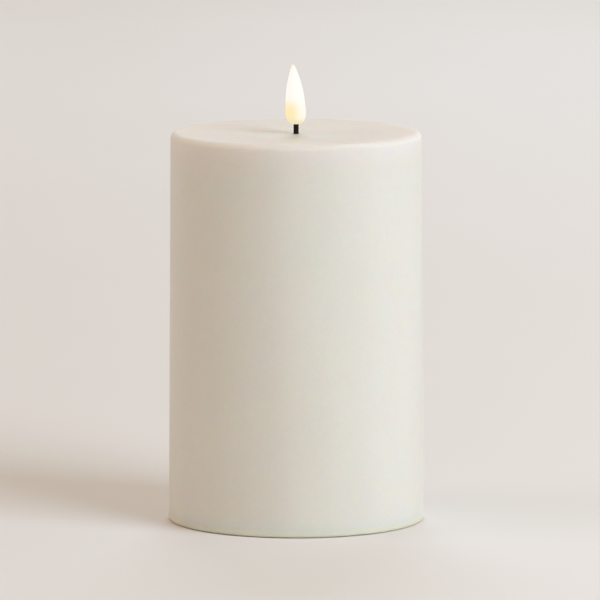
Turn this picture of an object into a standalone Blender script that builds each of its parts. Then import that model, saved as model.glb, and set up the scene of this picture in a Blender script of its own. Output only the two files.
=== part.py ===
"""Flameless LED pillar candle: a wax shell over a moulded liner, with a battery base and a moulded flame.

Metres, +Z up. The origin is on the candle's axis, on the surface that its feet stand on.
"""

import math

import bmesh
import bpy
from mathutils import Matrix, Vector

# Driving dimensions
WAX_RADIUS = 0.0495
WAX_DRAFT = 0.0010
WAX_HEIGHT = 0.1500
WAX_WALL = 0.0065
WAX_ROOF = 0.0100
TOP_EDGE_RADIUS = 0.0020
TOP_DISH = 0.0008
BASE_EDGE = 0.0006
FOOT_LIFT = 0.0005
WICK_RADIUS = 0.0010
WICK_WALL = 0.00015
WICK_ABOVE_RIM = 0.0030
FLAME_HEIGHT = 0.0230
FLAME_LEAN = 0.00115
# Clear space left between two pieces that touch
GAP = 0.0003
# How far a cutter runs past the face that it cuts, and how far a fused shape reaches into its neighbour
PAST = 0.0010

# Screws: head radius, shank radius and length under the head
BASE_SCREW = (0.0027, 0.0013, 0.0090)
BOX_SCREW = (0.0024, 0.0010, 0.0062)
BOARD_SCREW = (0.0020, 0.0008, 0.0050)
SWITCH_SCREW = (0.0016, 0.0007, 0.0036)
SCREW_ANGLES = (45, 135, 225, 315)

# The battery cells, size AA
CELL_RADIUS = 0.00725
CELL_LENGTH = 0.0505
CELL_PITCH = 0.0152
NUB_RADIUS = 0.00275
NUB_LENGTH = 0.0012

# The base plate and what stands on it
PLATE_BOTTOM = 0.0020
PLATE_THICKNESS = 0.0030
PLATE_TOP = PLATE_BOTTOM + PLATE_THICKNESS
FOOT_RADIUS = 0.0040
FOOT_RING = 0.0365
FOOT_SINK = 0.0008
FOOT_ANGLES = (0, 90, 180, 270)
PLATE_EDGE = 0.0006
BASE_SCREW_RING = 0.0375
BASE_SCREW_SINK = 0.0018
HEAD_BORE = 0.0031
SHANK_BORE = 0.0017
BOX_Y = 0.0020
COMPARTMENT_HALF = Vector((0.0285, 0.0160))
BOX_WALL = 0.0015
CELL_AXIS = PLATE_TOP + 0.0008 + CELL_RADIUS
CEILING = CELL_AXIS + CELL_RADIUS + 0.0012
BOX_TOP = CEILING + BOX_WALL
BOX_EAR = Vector((0.0336, 0.0100))
BOX_EAR_BASE = 0.0088
BOX_EAR_RADIUS = 0.0032
BOX_EAR_THICKNESS = 0.0025
BOX_EAR_BORE = 0.0014
BOX_WEB_HALF = 0.0026
EAR_POST_RADIUS = 0.0030
EAR_POST_BORE = 0.0013
TAB_SLOT_HALF = 0.0016
TAB_SLOT_X = (-0.0284, -0.0273)

# The battery door, hinged on its lower edge at -X
DOOR_HALF = Vector((0.0285, 0.0167))
DOOR_THICKNESS = 0.0014
DOOR_SEAT = PLATE_BOTTOM + DOOR_THICKNESS + GAP
DOOR_OPENING_HALF = Vector((0.0272, 0.0154))
LATCH_HALF_WIDTH = 0.0040
LATCH_CLEARANCE = 0.0006
LATCH_NOTCH_CLEARANCE = 0.0010
LATCH_NOTCH_END = 0.0316
LATCH_LEAF_THICKNESS = 0.0009
LATCH_LEAF_INSET = 0.0013
LATCH_TOP = 0.0042
LATCH_NIB_Z = (0.0034, 0.0039)
# Each hook is a stem and a nose over the plate's inner face, measured from the hinge's axis
HOOK_Y = (0.0126, 0.0150)
HOOK_STEM_X = (0.0017, 0.0029)
HOOK_TOP = 0.0045
HOOK_NOSE_X = (0.0004, 0.0020)
HOOK_NOSE_Z = (0.0034, 0.0044)
RIB_X = 0.0120
RIB_HALF = Vector((0.0006, 0.0142))
RIB_TOP = 0.0033

# The slide switch
SWITCH_Y = -0.0250
SWITCH_TRAVEL = 0.0040
SWITCH_SEAT = 0.0080
SWITCH_SCREW_X = 0.0082
SWITCH_POST_RADIUS = 0.0022
SWITCH_POST_BORE = 0.0011
SWITCH_RECESS_HALF = Vector((0.0072, 0.0029))
SWITCH_RECESS_DEPTH = 0.0012
SWITCH_SLOT_HALF_WIDTH = 0.0017
FRAME_HALF = Vector((0.0104, 0.0033))
FRAME_THICKNESS = 0.0006
FRAME_SCREW_BORE = 0.0010
CAN_HALF = Vector((0.0058, 0.0030))
CAN_HEIGHT = 0.0050
CAN_FLOOR = 0.0030
WAFER_HALF = Vector((0.0055, 0.0027))
WAFER_THICKNESS = 0.0010
PIN_PITCH = 0.0030
PIN_HALF = Vector((0.0004, 0.0002))
PIN_TOP = 0.0042
KNOB_HALF = Vector((0.0024, 0.0024))
KNOB_Z = (0.0013, 0.0029)
KNOB_STEM_HALF = Vector((0.0020, 0.0013))
KNOB_STEM_REACH = 0.0024
KNOB_GROOVE_PITCH = 0.0012
KNOB_GROOVE_HALF = Vector((0.0002, 0.0030))
KNOB_GROOVE_Z = (0.0010, 0.0017)

# The liner and the shell over it
WAX_BASE = FOOT_LIFT
WAX_TOP = WAX_BASE + WAX_HEIGHT
LINER_RADIUS = WAX_RADIUS - WAX_WALL - GAP
LINER_WALL = 0.0016
LINER_TOP = WAX_TOP - WAX_ROOF - GAP
CHIMNEY_RADIUS = 0.0030
CHIMNEY_TOP = WAX_TOP - 0.0030
BOSS_RADIUS = 0.0045
BOSS_HEIGHT = 0.0160
BOSS_BORE = 0.0016
BOSS_BORE_DEPTH = 0.0110

# The control board
BOARD_HALF = Vector((0.0210, 0.0130))
BOARD_THICKNESS = 0.0016
BOARD_BOTTOM = BOX_TOP + 0.0040 + GAP
BOARD_TOP = BOARD_BOTTOM + BOARD_THICKNESS
BOARD_SCREW_PLACE = Vector((0.0175, 0.0095))
BOARD_SCREW_HOLE = 0.0013
BOARD_POST_RADIUS = 0.0026
BOARD_POST_BORE = 0.0011
BOARD_FACE = BOARD_TOP + GAP
CHIP_PLACE = Vector((-0.0060, BOX_Y - 0.0010, BOARD_FACE))
CHIP_HALF = Vector((0.0025, 0.0019))
CHIP_Z = (0.0003, 0.0016)
CHIP_LEGS_X = (-0.0019, -0.0006, 0.0006, 0.0019)
CHIP_LEG_HALF = Vector((0.0002, 0.0030))
CHIP_LEG_HEIGHT = 0.0006
INDUCTOR_PLACE = (0.0110, BOX_Y - 0.0060, BOARD_FACE)
CAPACITOR_PLACE = (0.0130, BOX_Y + 0.0040, BOARD_FACE)
CRYSTAL_PLACE = (-0.0060, BOX_Y + 0.0060, BOARD_FACE)
CRYSTAL_HALF = Vector((0.0025, 0.0016))
CRYSTAL_HEIGHT = 0.0013
RESISTOR_X = 0.0010
RESISTOR_PITCH = 0.0030
RESISTOR_HALF = Vector((0.0010, 0.0006))
RESISTOR_HEIGHT = 0.0005

# The contacts at the compartment's ends
CONTACT_THICKNESS = 0.0004
CONTACT_X = 0.0281
CONTACT_Z = (0.0075, 0.0190)
CONTACT_HALF_WIDTH = 0.0050
BRIDGE_OVERHANG = 0.0054
TAB_HALF_WIDTH = 0.0012
TAB_INSET = 0.00005
TAB_RISE = 0.0030
SPRING_WIRE = 0.00035
SPRING_WIDE = 0.0046
SPRING_NARROW = 0.0024
SPRING_TURNS = 3

# Wires
WIRE_RADIUS = 0.0006
LED_LEAD_RADIUS = 0.0002

FLAME_BASE = WAX_TOP + WICK_ABOVE_RIM
# Radius of the flame at shares of its height, from its foot to just under its tip
FLAME_OUTLINE = (
    (0.00, 0.00175),
    (0.03, 0.00255),
    (0.08, 0.00342),
    (0.14, 0.00378),
    (0.23, 0.00388),
    (0.33, 0.00378),
    (0.43, 0.00359),
    (0.53, 0.00333),
    (0.63, 0.00296),
    (0.73, 0.00243),
    (0.83, 0.00176),
    (0.93, 0.00096),
    (0.97, 0.00058),
)

LARGE_STEPS = 72
BASE_STEPS = 64
MEDIUM_STEPS = 28
SMALL_STEPS = 16

MATERIALS = {
    "ivory_wax": ((0.86, 0.82, 0.74), 0.45, 0.0),
    "flame_diffuser": ((1.00, 0.86, 0.58), 0.30, 0.0),
    "led_phosphor": ((0.95, 0.72, 0.25), 0.40, 0.0),
    "wick_black": ((0.02, 0.018, 0.015), 0.70, 0.0),
    "white_plastic": ((0.85, 0.84, 0.80), 0.45, 0.0),
    "black_plastic": ((0.03, 0.03, 0.03), 0.40, 0.0),
    "clear_grey_rubber": ((0.55, 0.55, 0.53), 0.60, 0.0),
    "zinc_steel": ((0.62, 0.62, 0.60), 0.35, 1.0),
    "nickel": ((0.70, 0.67, 0.60), 0.25, 1.0),
    "board_green": ((0.05, 0.22, 0.10), 0.50, 0.0),
    "phenolic_brown": ((0.35, 0.20, 0.10), 0.60, 0.0),
    "component_black": ((0.03, 0.03, 0.035), 0.50, 0.0),
    "component_can": ((0.75, 0.75, 0.76), 0.30, 1.0),
    "cell_jacket": ((0.10, 0.11, 0.13), 0.35, 0.0),
    "wire_red": ((0.60, 0.04, 0.03), 0.45, 0.0),
    "wire_black": ((0.03, 0.03, 0.03), 0.45, 0.0),
    "wire_white": ((0.80, 0.80, 0.78), 0.45, 0.0),
}


def clear_scene():
    for obj in list(bpy.data.objects):
        bpy.data.objects.remove(obj, do_unlink=True)


def material(name):
    """The named Principled material, made once."""
    made = bpy.data.materials.get(name)
    if made is None:
        colour, roughness, metallic = MATERIALS[name]
        made = bpy.data.materials.new(name)
        made.use_nodes = True
        shader = made.node_tree.nodes["Principled BSDF"]
        shader.inputs["Base Color"].default_value = (*colour, 1.0)
        shader.inputs["Roughness"].default_value = roughness
        shader.inputs["Metallic"].default_value = metallic
    return made


def add(name, shape, finish=None, location=(0.0, 0.0, 0.0)):
    """The bmesh as an object in the scene, smooth where its faces meet at under 35 degrees."""
    mesh = bpy.data.meshes.new(name)
    shape.to_mesh(mesh)
    shape.free()
    mesh.shade_smooth()
    mesh.set_sharp_from_angle(angle=math.radians(35))
    obj = bpy.data.objects.new(name, mesh)
    obj.location = location
    bpy.context.scene.collection.objects.link(obj)
    if finish:
        mesh.materials.append(material(finish))
    return obj


def turned(outline, steps):
    """The solid swept by an outline of (radius, height) points, which runs from axis to axis or is a loop."""
    shape = bmesh.new()
    points = [shape.verts.new((radius, 0.0, height)) for radius, height in outline]
    on_axis = outline[0][0] == 0.0 and outline[-1][0] == 0.0
    ends = points[1:] if on_axis else points[1:] + points[:1]
    edges = [shape.edges.new(pair) for pair in zip(points, ends)]
    bmesh.ops.spin(
        shape,
        geom=points + edges,
        axis=(0, 0, 1),
        cent=(0, 0, 0),
        angle=math.tau,
        steps=steps,
        use_merge=True,
    )
    bmesh.ops.remove_doubles(shape, verts=shape.verts, dist=1e-7)
    bmesh.ops.recalc_face_normals(shape, faces=shape.faces)
    return shape


def block(low, high, bevel=0.0):
    """A box between two corners, its edges bevelled if asked."""
    low, high = Vector(low), Vector(high)
    shape = bmesh.new()
    bmesh.ops.create_cube(shape, size=1.0)
    bmesh.ops.scale(shape, vec=high - low, verts=shape.verts)
    bmesh.ops.translate(shape, vec=(high + low) / 2, verts=shape.verts)
    if bevel:
        bmesh.ops.bevel(shape, geom=shape.edges[:], offset=bevel, segments=1, affect="EDGES")
    return shape


def centred_block(half, low, high, bevel=0.0):
    """A box between two heights, centred on the Z axis."""
    return block((-half.x, -half.y, low), (half.x, half.y, high), bevel)


def around_box_axis(half_x, half_y, low, high, bevel=0.0):
    """A box between two heights, centred over the battery compartment."""
    return block((-half_x, BOX_Y - half_y, low), (half_x, BOX_Y + half_y, high), bevel)


def post(radius, low, high, steps=MEDIUM_STEPS):
    """An upright cylinder on the Z axis."""
    shape = bmesh.new()
    size = {"radius1": radius, "radius2": radius, "depth": high - low}
    bmesh.ops.create_cone(shape, cap_ends=True, segments=steps, **size)
    bmesh.ops.translate(shape, vec=(0.0, 0.0, (high + low) / 2), verts=shape.verts)
    return shape


def boolean(target, shape, operation, location=(0.0, 0.0, 0.0)):
    """A Boolean on target with the shape as a hidden helper."""
    index = len(target.modifiers)
    helper = add(f"{target.name}_{operation.lower()}_{index}", shape, location=location)
    helper.hide_render = True
    helper.display_type = "WIRE"
    modifier = target.modifiers.new(f"{operation.title()} {index}", "BOOLEAN")
    modifier.operation = operation
    modifier.object = helper


def cut(target, shape, location=(0.0, 0.0, 0.0)):
    boolean(target, shape, "DIFFERENCE", location)


def fuse(target, shape, location=(0.0, 0.0, 0.0)):
    boolean(target, shape, "UNION", location)


def quarter_arc(centre, radius, start, steps=6):
    """Points on a quarter circle about centre, turning anticlockwise from the start angle in degrees."""
    angles = [math.radians(start + 90.0 * i / steps) for i in range(steps + 1)]
    return [(centre[0] + radius * math.cos(a), centre[1] + radius * math.sin(a)) for a in angles]


def on_ring(radius, degrees, height=0.0):
    angle = math.radians(degrees)
    return Vector((radius * math.cos(angle), radius * math.sin(angle), height))


def smooth_line(points, steps):
    """A Catmull-Rom curve through the points, with steps points between each pair."""
    points = [Vector(p) for p in points]
    padded = [2 * points[0] - points[1], *points, 2 * points[-1] - points[-2]]
    line = []
    for a, b, c, d in zip(padded, padded[1:], padded[2:], padded[3:]):
        for i in range(steps):
            t = i / steps
            bend = (2 * a - 5 * b + 4 * c - d) * t**2 + (3 * b - a - 3 * c + d) * t**3
            line.append(0.5 * (2 * b + (c - a) * t + bend))
    return [*line, points[-1]]


def tube(name, line, radius, finish, sides=2):
    """A round wire along the line, as a bevelled curve with filled caps."""
    curve = bpy.data.curves.new(name, "CURVE")
    curve.dimensions = "3D"
    curve.bevel_depth = radius
    curve.bevel_resolution = sides
    curve.use_fill_caps = True
    spline = curve.splines.new("POLY")
    spline.points.add(len(line) - 1)
    for point, place in zip(spline.points, line):
        point.co = (*place, 1.0)
    obj = bpy.data.objects.new(name, curve)
    bpy.context.scene.collection.objects.link(obj)
    curve.materials.append(material(finish))
    return obj


def screw(name, head_seat, size, upside_down=False):
    """A pan-head screw with a cross recess. Its head stands on head_seat, and its shank runs away from it."""
    head_radius, shank_radius, length = size
    head = head_radius * 0.62
    outline = [
        (0.0, -length),
        (shank_radius * 0.35, -length),
        (shank_radius, -length + shank_radius),
        (shank_radius, 0.0),
        (head_radius, 0.0),
        (head_radius, head * 0.45),
        (head_radius * 0.72, head),
        (0.0, head),
    ]
    made = add(name, turned(outline, SMALL_STEPS), "zinc_steel", head_seat)
    if upside_down:
        made.rotation_euler.x = math.pi
    for wide, deep in ((0.62, 0.16), (0.16, 0.62)):
        half = Vector((head_radius * wide, head_radius * deep, 0.0))
        recess = block(Vector((0, 0, head * 0.35)) - half, Vector((0, 0, head * 1.5)) + half)
        recess.transform(made.rotation_euler.to_matrix().to_4x4())
        cut(made, recess, head_seat)
    return made


def wax_shell():
    """The poured shell: a drafted wall, a dished roof with a rounded edge, and a bore for the chimney."""
    inner = WAX_RADIUS - WAX_WALL
    outline = [(inner, WAX_BASE), (WAX_RADIUS - BASE_EDGE, WAX_BASE), (WAX_RADIUS, WAX_BASE + BASE_EDGE)]
    edge = WAX_RADIUS - WAX_DRAFT - TOP_EDGE_RADIUS
    outline += quarter_arc((edge, WAX_TOP - TOP_EDGE_RADIUS), TOP_EDGE_RADIUS, 0.0)
    outline += [
        (WAX_RADIUS * 0.80, WAX_TOP - TOP_DISH * 0.7),
        (WAX_RADIUS * 0.40, WAX_TOP - TOP_DISH),
        (WICK_RADIUS + GAP, WAX_TOP - TOP_DISH),
        (WICK_RADIUS + GAP, CHIMNEY_TOP + GAP),
        (CHIMNEY_RADIUS + GAP, CHIMNEY_TOP + GAP),
        (CHIMNEY_RADIUS + GAP, LINER_TOP + GAP),
        (inner, LINER_TOP + GAP),
    ]
    return add("wax_shell", turned(outline, LARGE_STEPS), "ivory_wax")


def inner_liner():
    """The moulded cup that carries the wax, with a chimney for the wick and a boss for each base screw."""
    bottom, inside = PLATE_TOP + GAP, LINER_RADIUS - LINER_WALL
    outline = [
        (inside, bottom),
        (LINER_RADIUS, bottom),
        (LINER_RADIUS, LINER_TOP),
        (CHIMNEY_RADIUS, LINER_TOP),
        (CHIMNEY_RADIUS, CHIMNEY_TOP),
        (WICK_RADIUS + GAP, CHIMNEY_TOP),
        (WICK_RADIUS + GAP, LINER_TOP - LINER_WALL),
        (inside, LINER_TOP - LINER_WALL),
    ]
    liner = add("inner_liner", turned(outline, BASE_STEPS), "white_plastic")
    for degrees in SCREW_ANGLES:
        place = on_ring(BASE_SCREW_RING, degrees)
        fuse(liner, post(BOSS_RADIUS, bottom, bottom + BOSS_HEIGHT, SMALL_STEPS), place)
        cut(liner, post(BOSS_BORE, bottom - PAST, bottom + BOSS_BORE_DEPTH, SMALL_STEPS), place)
    return liner


def base_plate():
    """The recessed disc under the candle: door seat and opening, switch slot, foot seats and screw holes."""
    outline = [
        (0.0, PLATE_BOTTOM),
        (LINER_RADIUS - PLATE_EDGE, PLATE_BOTTOM),
        (LINER_RADIUS, PLATE_BOTTOM + PLATE_EDGE),
        (LINER_RADIUS, PLATE_TOP),
        (0.0, PLATE_TOP),
    ]
    plate = add("base_plate", turned(outline, BASE_STEPS), "white_plastic")
    below, above = PLATE_BOTTOM - PAST, PLATE_TOP + PAST

    for sign in (-1, 1):
        ear = (sign * BOX_EAR.x, BOX_EAR.y, 0.0)
        fuse(plate, post(EAR_POST_RADIUS, PLATE_TOP - PAST, BOX_EAR_BASE - GAP, SMALL_STEPS), ear)
        cut(plate, post(EAR_POST_BORE, PLATE_TOP - PAST, BOX_EAR_BASE + PAST, SMALL_STEPS), ear)
        seat = (sign * SWITCH_SCREW_X, SWITCH_Y, 0.0)
        fuse(plate, post(SWITCH_POST_RADIUS, PLATE_TOP - PAST, SWITCH_SEAT, SMALL_STEPS), seat)
        cut(plate, post(SWITCH_POST_BORE, PLATE_TOP - 2 * GAP, SWITCH_SEAT + PAST, SMALL_STEPS), seat)

    seat_half = DOOR_HALF + Vector((GAP, GAP))
    cut(plate, around_box_axis(seat_half.x, seat_half.y, below, DOOR_SEAT))
    opening = DOOR_OPENING_HALF
    cut(plate, around_box_axis(opening.x, opening.y, below, above))
    latch = LATCH_HALF_WIDTH + LATCH_CLEARANCE
    cut(plate, block((opening.x - 2 * PAST, BOX_Y - latch, below), (seat_half.x, BOX_Y + latch, above)))
    notch = LATCH_HALF_WIDTH + LATCH_NOTCH_CLEARANCE
    cut(plate, block((opening.x, BOX_Y - notch, below), (LATCH_NOTCH_END, BOX_Y + notch, DOOR_SEAT - GAP)))

    recess = SWITCH_RECESS_HALF
    recess_top = PLATE_BOTTOM + SWITCH_RECESS_DEPTH
    cut(plate, block((-recess.x, SWITCH_Y - recess.y, below), (recess.x, SWITCH_Y + recess.y, recess_top)))
    slot = Vector((SWITCH_TRAVEL / 2 + KNOB_STEM_REACH, SWITCH_SLOT_HALF_WIDTH))
    cut(plate, block((-slot.x, SWITCH_Y - slot.y, below), (slot.x, SWITCH_Y + slot.y, above)))

    for degrees in FOOT_ANGLES:
        seat = post(FOOT_RADIUS + GAP, below, PLATE_BOTTOM + FOOT_SINK, MEDIUM_STEPS)
        cut(plate, seat, on_ring(FOOT_RING, degrees))
    for degrees in SCREW_ANGLES:
        place = on_ring(BASE_SCREW_RING, degrees)
        cut(plate, post(HEAD_BORE, below, PLATE_BOTTOM + BASE_SCREW_SINK, SMALL_STEPS), place)
        cut(plate, post(SHANK_BORE, below, above, SMALL_STEPS), place)
    return plate


def base_fittings():
    """The rubber feet, and the screws that hold the base plate to the liner."""
    for number, degrees in enumerate(FOOT_ANGLES, 1):
        top = PLATE_BOTTOM + FOOT_SINK - GAP
        outline = [
            (0.0, 0.0),
            (FOOT_RADIUS - 0.0007, 0.0),
            (FOOT_RADIUS - 0.0002, 0.0003),
            (FOOT_RADIUS, 0.0009),
            (FOOT_RADIUS, top),
            (0.0, top),
        ]
        add(f"foot_{number}", turned(outline, MEDIUM_STEPS), "clear_grey_rubber", on_ring(FOOT_RING, degrees))
    for number, degrees in enumerate(SCREW_ANGLES, 1):
        seat = on_ring(BASE_SCREW_RING, degrees, PLATE_BOTTOM + BASE_SCREW_SINK - GAP)
        screw(f"base_screw_{number}", seat, BASE_SCREW, upside_down=True)


def battery_box():
    """The upturned box over the cells, with an ear for each box screw, tab slots, and posts for the board."""
    bottom = PLATE_TOP + GAP
    half = COMPARTMENT_HALF + Vector((BOX_WALL, BOX_WALL))
    box = add("battery_box", around_box_axis(half.x, half.y, bottom, BOX_TOP, bevel=0.0004), "white_plastic")
    ear_top = BOX_EAR_BASE + BOX_EAR_THICKNESS
    for sign in (-1, 1):
        ear = (sign * BOX_EAR.x, BOX_EAR.y, 0.0)
        fuse(box, post(BOX_EAR_RADIUS, BOX_EAR_BASE, ear_top, SMALL_STEPS), ear)
        web = sorted((sign * (half.x - 0.0008), sign * BOX_EAR.x))
        web_low = (web[0], BOX_EAR.y - BOX_WEB_HALF, BOX_EAR_BASE + 0.0001)
        fuse(box, block(web_low, (web[1], BOX_EAR.y + BOX_WEB_HALF, ear_top - 0.0001)))
        cut(box, post(BOX_EAR_BORE, BOX_EAR_BASE - PAST, ear_top + PAST, SMALL_STEPS), ear)
        board = (sign * BOARD_SCREW_PLACE.x, BOX_Y + sign * BOARD_SCREW_PLACE.y, 0.0)
        fuse(box, post(BOARD_POST_RADIUS, BOX_TOP - 0.0008, BOARD_BOTTOM - GAP, SMALL_STEPS), board)

    cut(box, around_box_axis(COMPARTMENT_HALF.x, COMPARTMENT_HALF.y, bottom - PAST, CEILING))
    for sign in (-1, 1):
        slot_y = BOX_Y + sign * CELL_PITCH / 2
        slot_low = (TAB_SLOT_X[0], slot_y - TAB_SLOT_HALF, CEILING - PAST)
        cut(box, block(slot_low, (TAB_SLOT_X[1], slot_y + TAB_SLOT_HALF, BOX_TOP + PAST)))
        board = (sign * BOARD_SCREW_PLACE.x, BOX_Y + sign * BOARD_SCREW_PLACE.y, 0.0)
        cut(box, post(BOARD_POST_BORE, CEILING + 2 * GAP, BOARD_BOTTOM + PAST, SMALL_STEPS), board)
        seat = Vector((sign * BOX_EAR.x, BOX_EAR.y, ear_top + GAP))
        screw(f"box_screw_{1 if sign > 0 else 2}", seat, BOX_SCREW)
    return box


def battery_door():
    """The hinged door: a plate with hooks at -X, a sprung latch at +X and ribs that steady the cells."""
    hinge = Vector((-DOOR_HALF.x, BOX_Y, PLATE_BOTTOM))
    top = DOOR_THICKNESS
    width = 2 * DOOR_HALF.x
    slab = block((0, -DOOR_HALF.y, 0), (width, DOOR_HALF.y, top), bevel=0.0002)
    door = add("battery_door", slab, "white_plastic", hinge)
    root = top - GAP
    inset = 0.0001
    for sign in (-1, 1):
        near, far = sorted(sign * y for y in HOOK_Y)
        fuse(door, block((HOOK_STEM_X[0], near, root), (HOOK_STEM_X[1], far, HOOK_TOP)), hinge)
        nose_low = (HOOK_NOSE_X[0], near + inset, HOOK_NOSE_Z[0])
        fuse(door, block(nose_low, (HOOK_NOSE_X[1], far - inset, HOOK_NOSE_Z[1])), hinge)
        rib_x = DOOR_HALF.x + sign * RIB_X
        rib_low = (rib_x - RIB_HALF.x, -RIB_HALF.y, root)
        fuse(door, block(rib_low, (rib_x + RIB_HALF.x, RIB_HALF.y, RIB_TOP)), hinge)
    leaf = width - LATCH_LEAF_INSET
    latch = LATCH_HALF_WIDTH
    fuse(door, block((leaf, -latch, root), (leaf + LATCH_LEAF_THICKNESS, latch, LATCH_TOP)), hinge)
    nib_low = (leaf + LATCH_LEAF_THICKNESS / 2 + inset / 2, -latch + inset, LATCH_NIB_Z[0])
    fuse(door, block(nib_low, (width - GAP, latch - inset, LATCH_NIB_Z[1])), hinge)
    return door


def slide_switch():
    """The three-position switch: an eared frame on posts, a wafer of terminals, and the knob below them."""
    bottom = SWITCH_SEAT + GAP
    at = Vector((0.0, SWITCH_Y, 0.0))
    ears = centred_block(FRAME_HALF, bottom, bottom + FRAME_THICKNESS)
    frame = add("switch_housing", ears, "zinc_steel", at)
    can_top = bottom + CAN_HEIGHT
    fuse(frame, centred_block(CAN_HALF, bottom + 0.0001, can_top, bevel=0.0003), at)
    slot = Vector((SWITCH_TRAVEL / 2 + 0.0023, SWITCH_SLOT_HALF_WIDTH))
    cut(frame, centred_block(slot, bottom - PAST, bottom + CAN_FLOOR), at)
    for number, sign in enumerate((1, -1), 1):
        place = Vector((sign * SWITCH_SCREW_X, SWITCH_Y, 0.0))
        cut(frame, post(FRAME_SCREW_BORE, bottom - PAST, bottom + 2 * PAST, SMALL_STEPS), place)
        screw(f"switch_screw_{number}", place + Vector((0, 0, bottom + FRAME_THICKNESS + GAP)), SWITCH_SCREW)

    wafer_low = can_top + GAP
    pin_top = wafer_low + PIN_TOP
    sheet = centred_block(WAFER_HALF, wafer_low, wafer_low + WAFER_THICKNESS)
    wafer = add("switch_wafer", sheet, "phenolic_brown", at)
    for pin_x in (-PIN_PITCH, 0.0, PIN_PITCH):
        pin = centred_block(PIN_HALF, wafer_low + 0.0008, pin_top)
        fuse(wafer, pin, at + Vector((pin_x, 0, 0)))

    knob_at = Vector((-SWITCH_TRAVEL / 2, SWITCH_Y, 0.0))
    knob = add("switch_knob", centred_block(KNOB_HALF, *KNOB_Z, bevel=0.0003), "black_plastic", knob_at)
    fuse(knob, centred_block(KNOB_STEM_HALF, KNOB_Z[1] - GAP, bottom + KNOB_STEM_REACH), knob_at)
    for groove_x in (-KNOB_GROOVE_PITCH, 0.0, KNOB_GROOVE_PITCH):
        groove = centred_block(KNOB_GROOVE_HALF, *KNOB_GROOVE_Z)
        cut(knob, groove, knob_at + Vector((groove_x, 0, 0)))
    return pin_top


def contacts_and_cells():
    """Two cells side by side, head to tail, with a plate at each end of them and a spring behind each."""
    plate_low, plate_high = CONTACT_Z
    tab_top = BOX_TOP + TAB_RISE
    far = COMPARTMENT_HALF.x - GAP
    wall_side, cell_side = -CONTACT_X, -CONTACT_X + CONTACT_THICKNESS
    for name, sign in (("positive_contact", -1), ("negative_contact", 1)):
        row_y = BOX_Y + sign * CELL_PITCH / 2
        low = (wall_side, row_y - CONTACT_HALF_WIDTH, plate_low)
        plate = add(name, block(low, (cell_side, row_y + CONTACT_HALF_WIDTH, plate_high)), "nickel")
        tab_low = (wall_side + TAB_INSET, row_y - TAB_HALF_WIDTH, plate_high - PAST)
        fuse(plate, block(tab_low, (cell_side - TAB_INSET, row_y + TAB_HALF_WIDTH, tab_top)))
    bridge_half = CELL_PITCH / 2 + BRIDGE_OVERHANG
    bridge_low = (far - CONTACT_THICKNESS, BOX_Y - bridge_half, plate_low)
    add("bridge_contact", block(bridge_low, (far, BOX_Y + bridge_half, plate_high)), "nickel")

    reach = CONTACT_X - CONTACT_THICKNESS - GAP
    shoulder = CELL_LENGTH - NUB_LENGTH
    outline = [
        (0.0, 0.0),
        (CELL_RADIUS - 0.0004, 0.0),
        (CELL_RADIUS, 0.0004),
        (CELL_RADIUS, shoulder - 0.0004),
        (CELL_RADIUS - 0.0004, shoulder),
        (NUB_RADIUS, shoulder),
        (NUB_RADIUS - 0.0002, CELL_LENGTH),
        (0.0, CELL_LENGTH),
    ]
    for number, facing in ((1, -1), (2, 1)):
        row_y = BOX_Y + facing * CELL_PITCH / 2
        # The cell's flat end is CELL_LENGTH back from its nub, which meets the plate that it faces.
        nub_x = -reach if facing < 0 else far - CONTACT_THICKNESS - GAP
        flat_x = nub_x - facing * CELL_LENGTH
        foot = (flat_x, row_y, CELL_AXIS)
        cell = add(f"battery_cell_{number}", turned(outline, MEDIUM_STEPS), "cell_jacket", foot)
        cell.rotation_euler.y = facing * math.pi / 2
        plate_x = far - CONTACT_THICKNESS if facing < 0 else -CONTACT_X + CONTACT_THICKNESS
        name = "bridge_spring" if facing < 0 else "negative_spring"
        spring(name, plate_x, flat_x, row_y)
    return tab_top


def spring(name, plate_x, cell_x, row_y):
    """A conical coil from its plate to a cell's flat end, wide at the plate."""
    per_turn = 16
    count = SPRING_TURNS * per_turn
    clearance = GAP + SPRING_WIRE
    direction = 1 if cell_x > plate_x else -1
    start, end = plate_x + direction * clearance, cell_x - direction * clearance
    line = []
    for i in range(count + 1):
        share = i / count
        angle = share * SPRING_TURNS * math.tau
        radius = SPRING_WIDE + (SPRING_NARROW - SPRING_WIDE) * share
        place = start + (end - start) * share
        line.append((place, row_y + radius * math.cos(angle), CELL_AXIS + radius * math.sin(angle)))
    tube(name, line, SPRING_WIRE, "nickel", sides=1)


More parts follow.
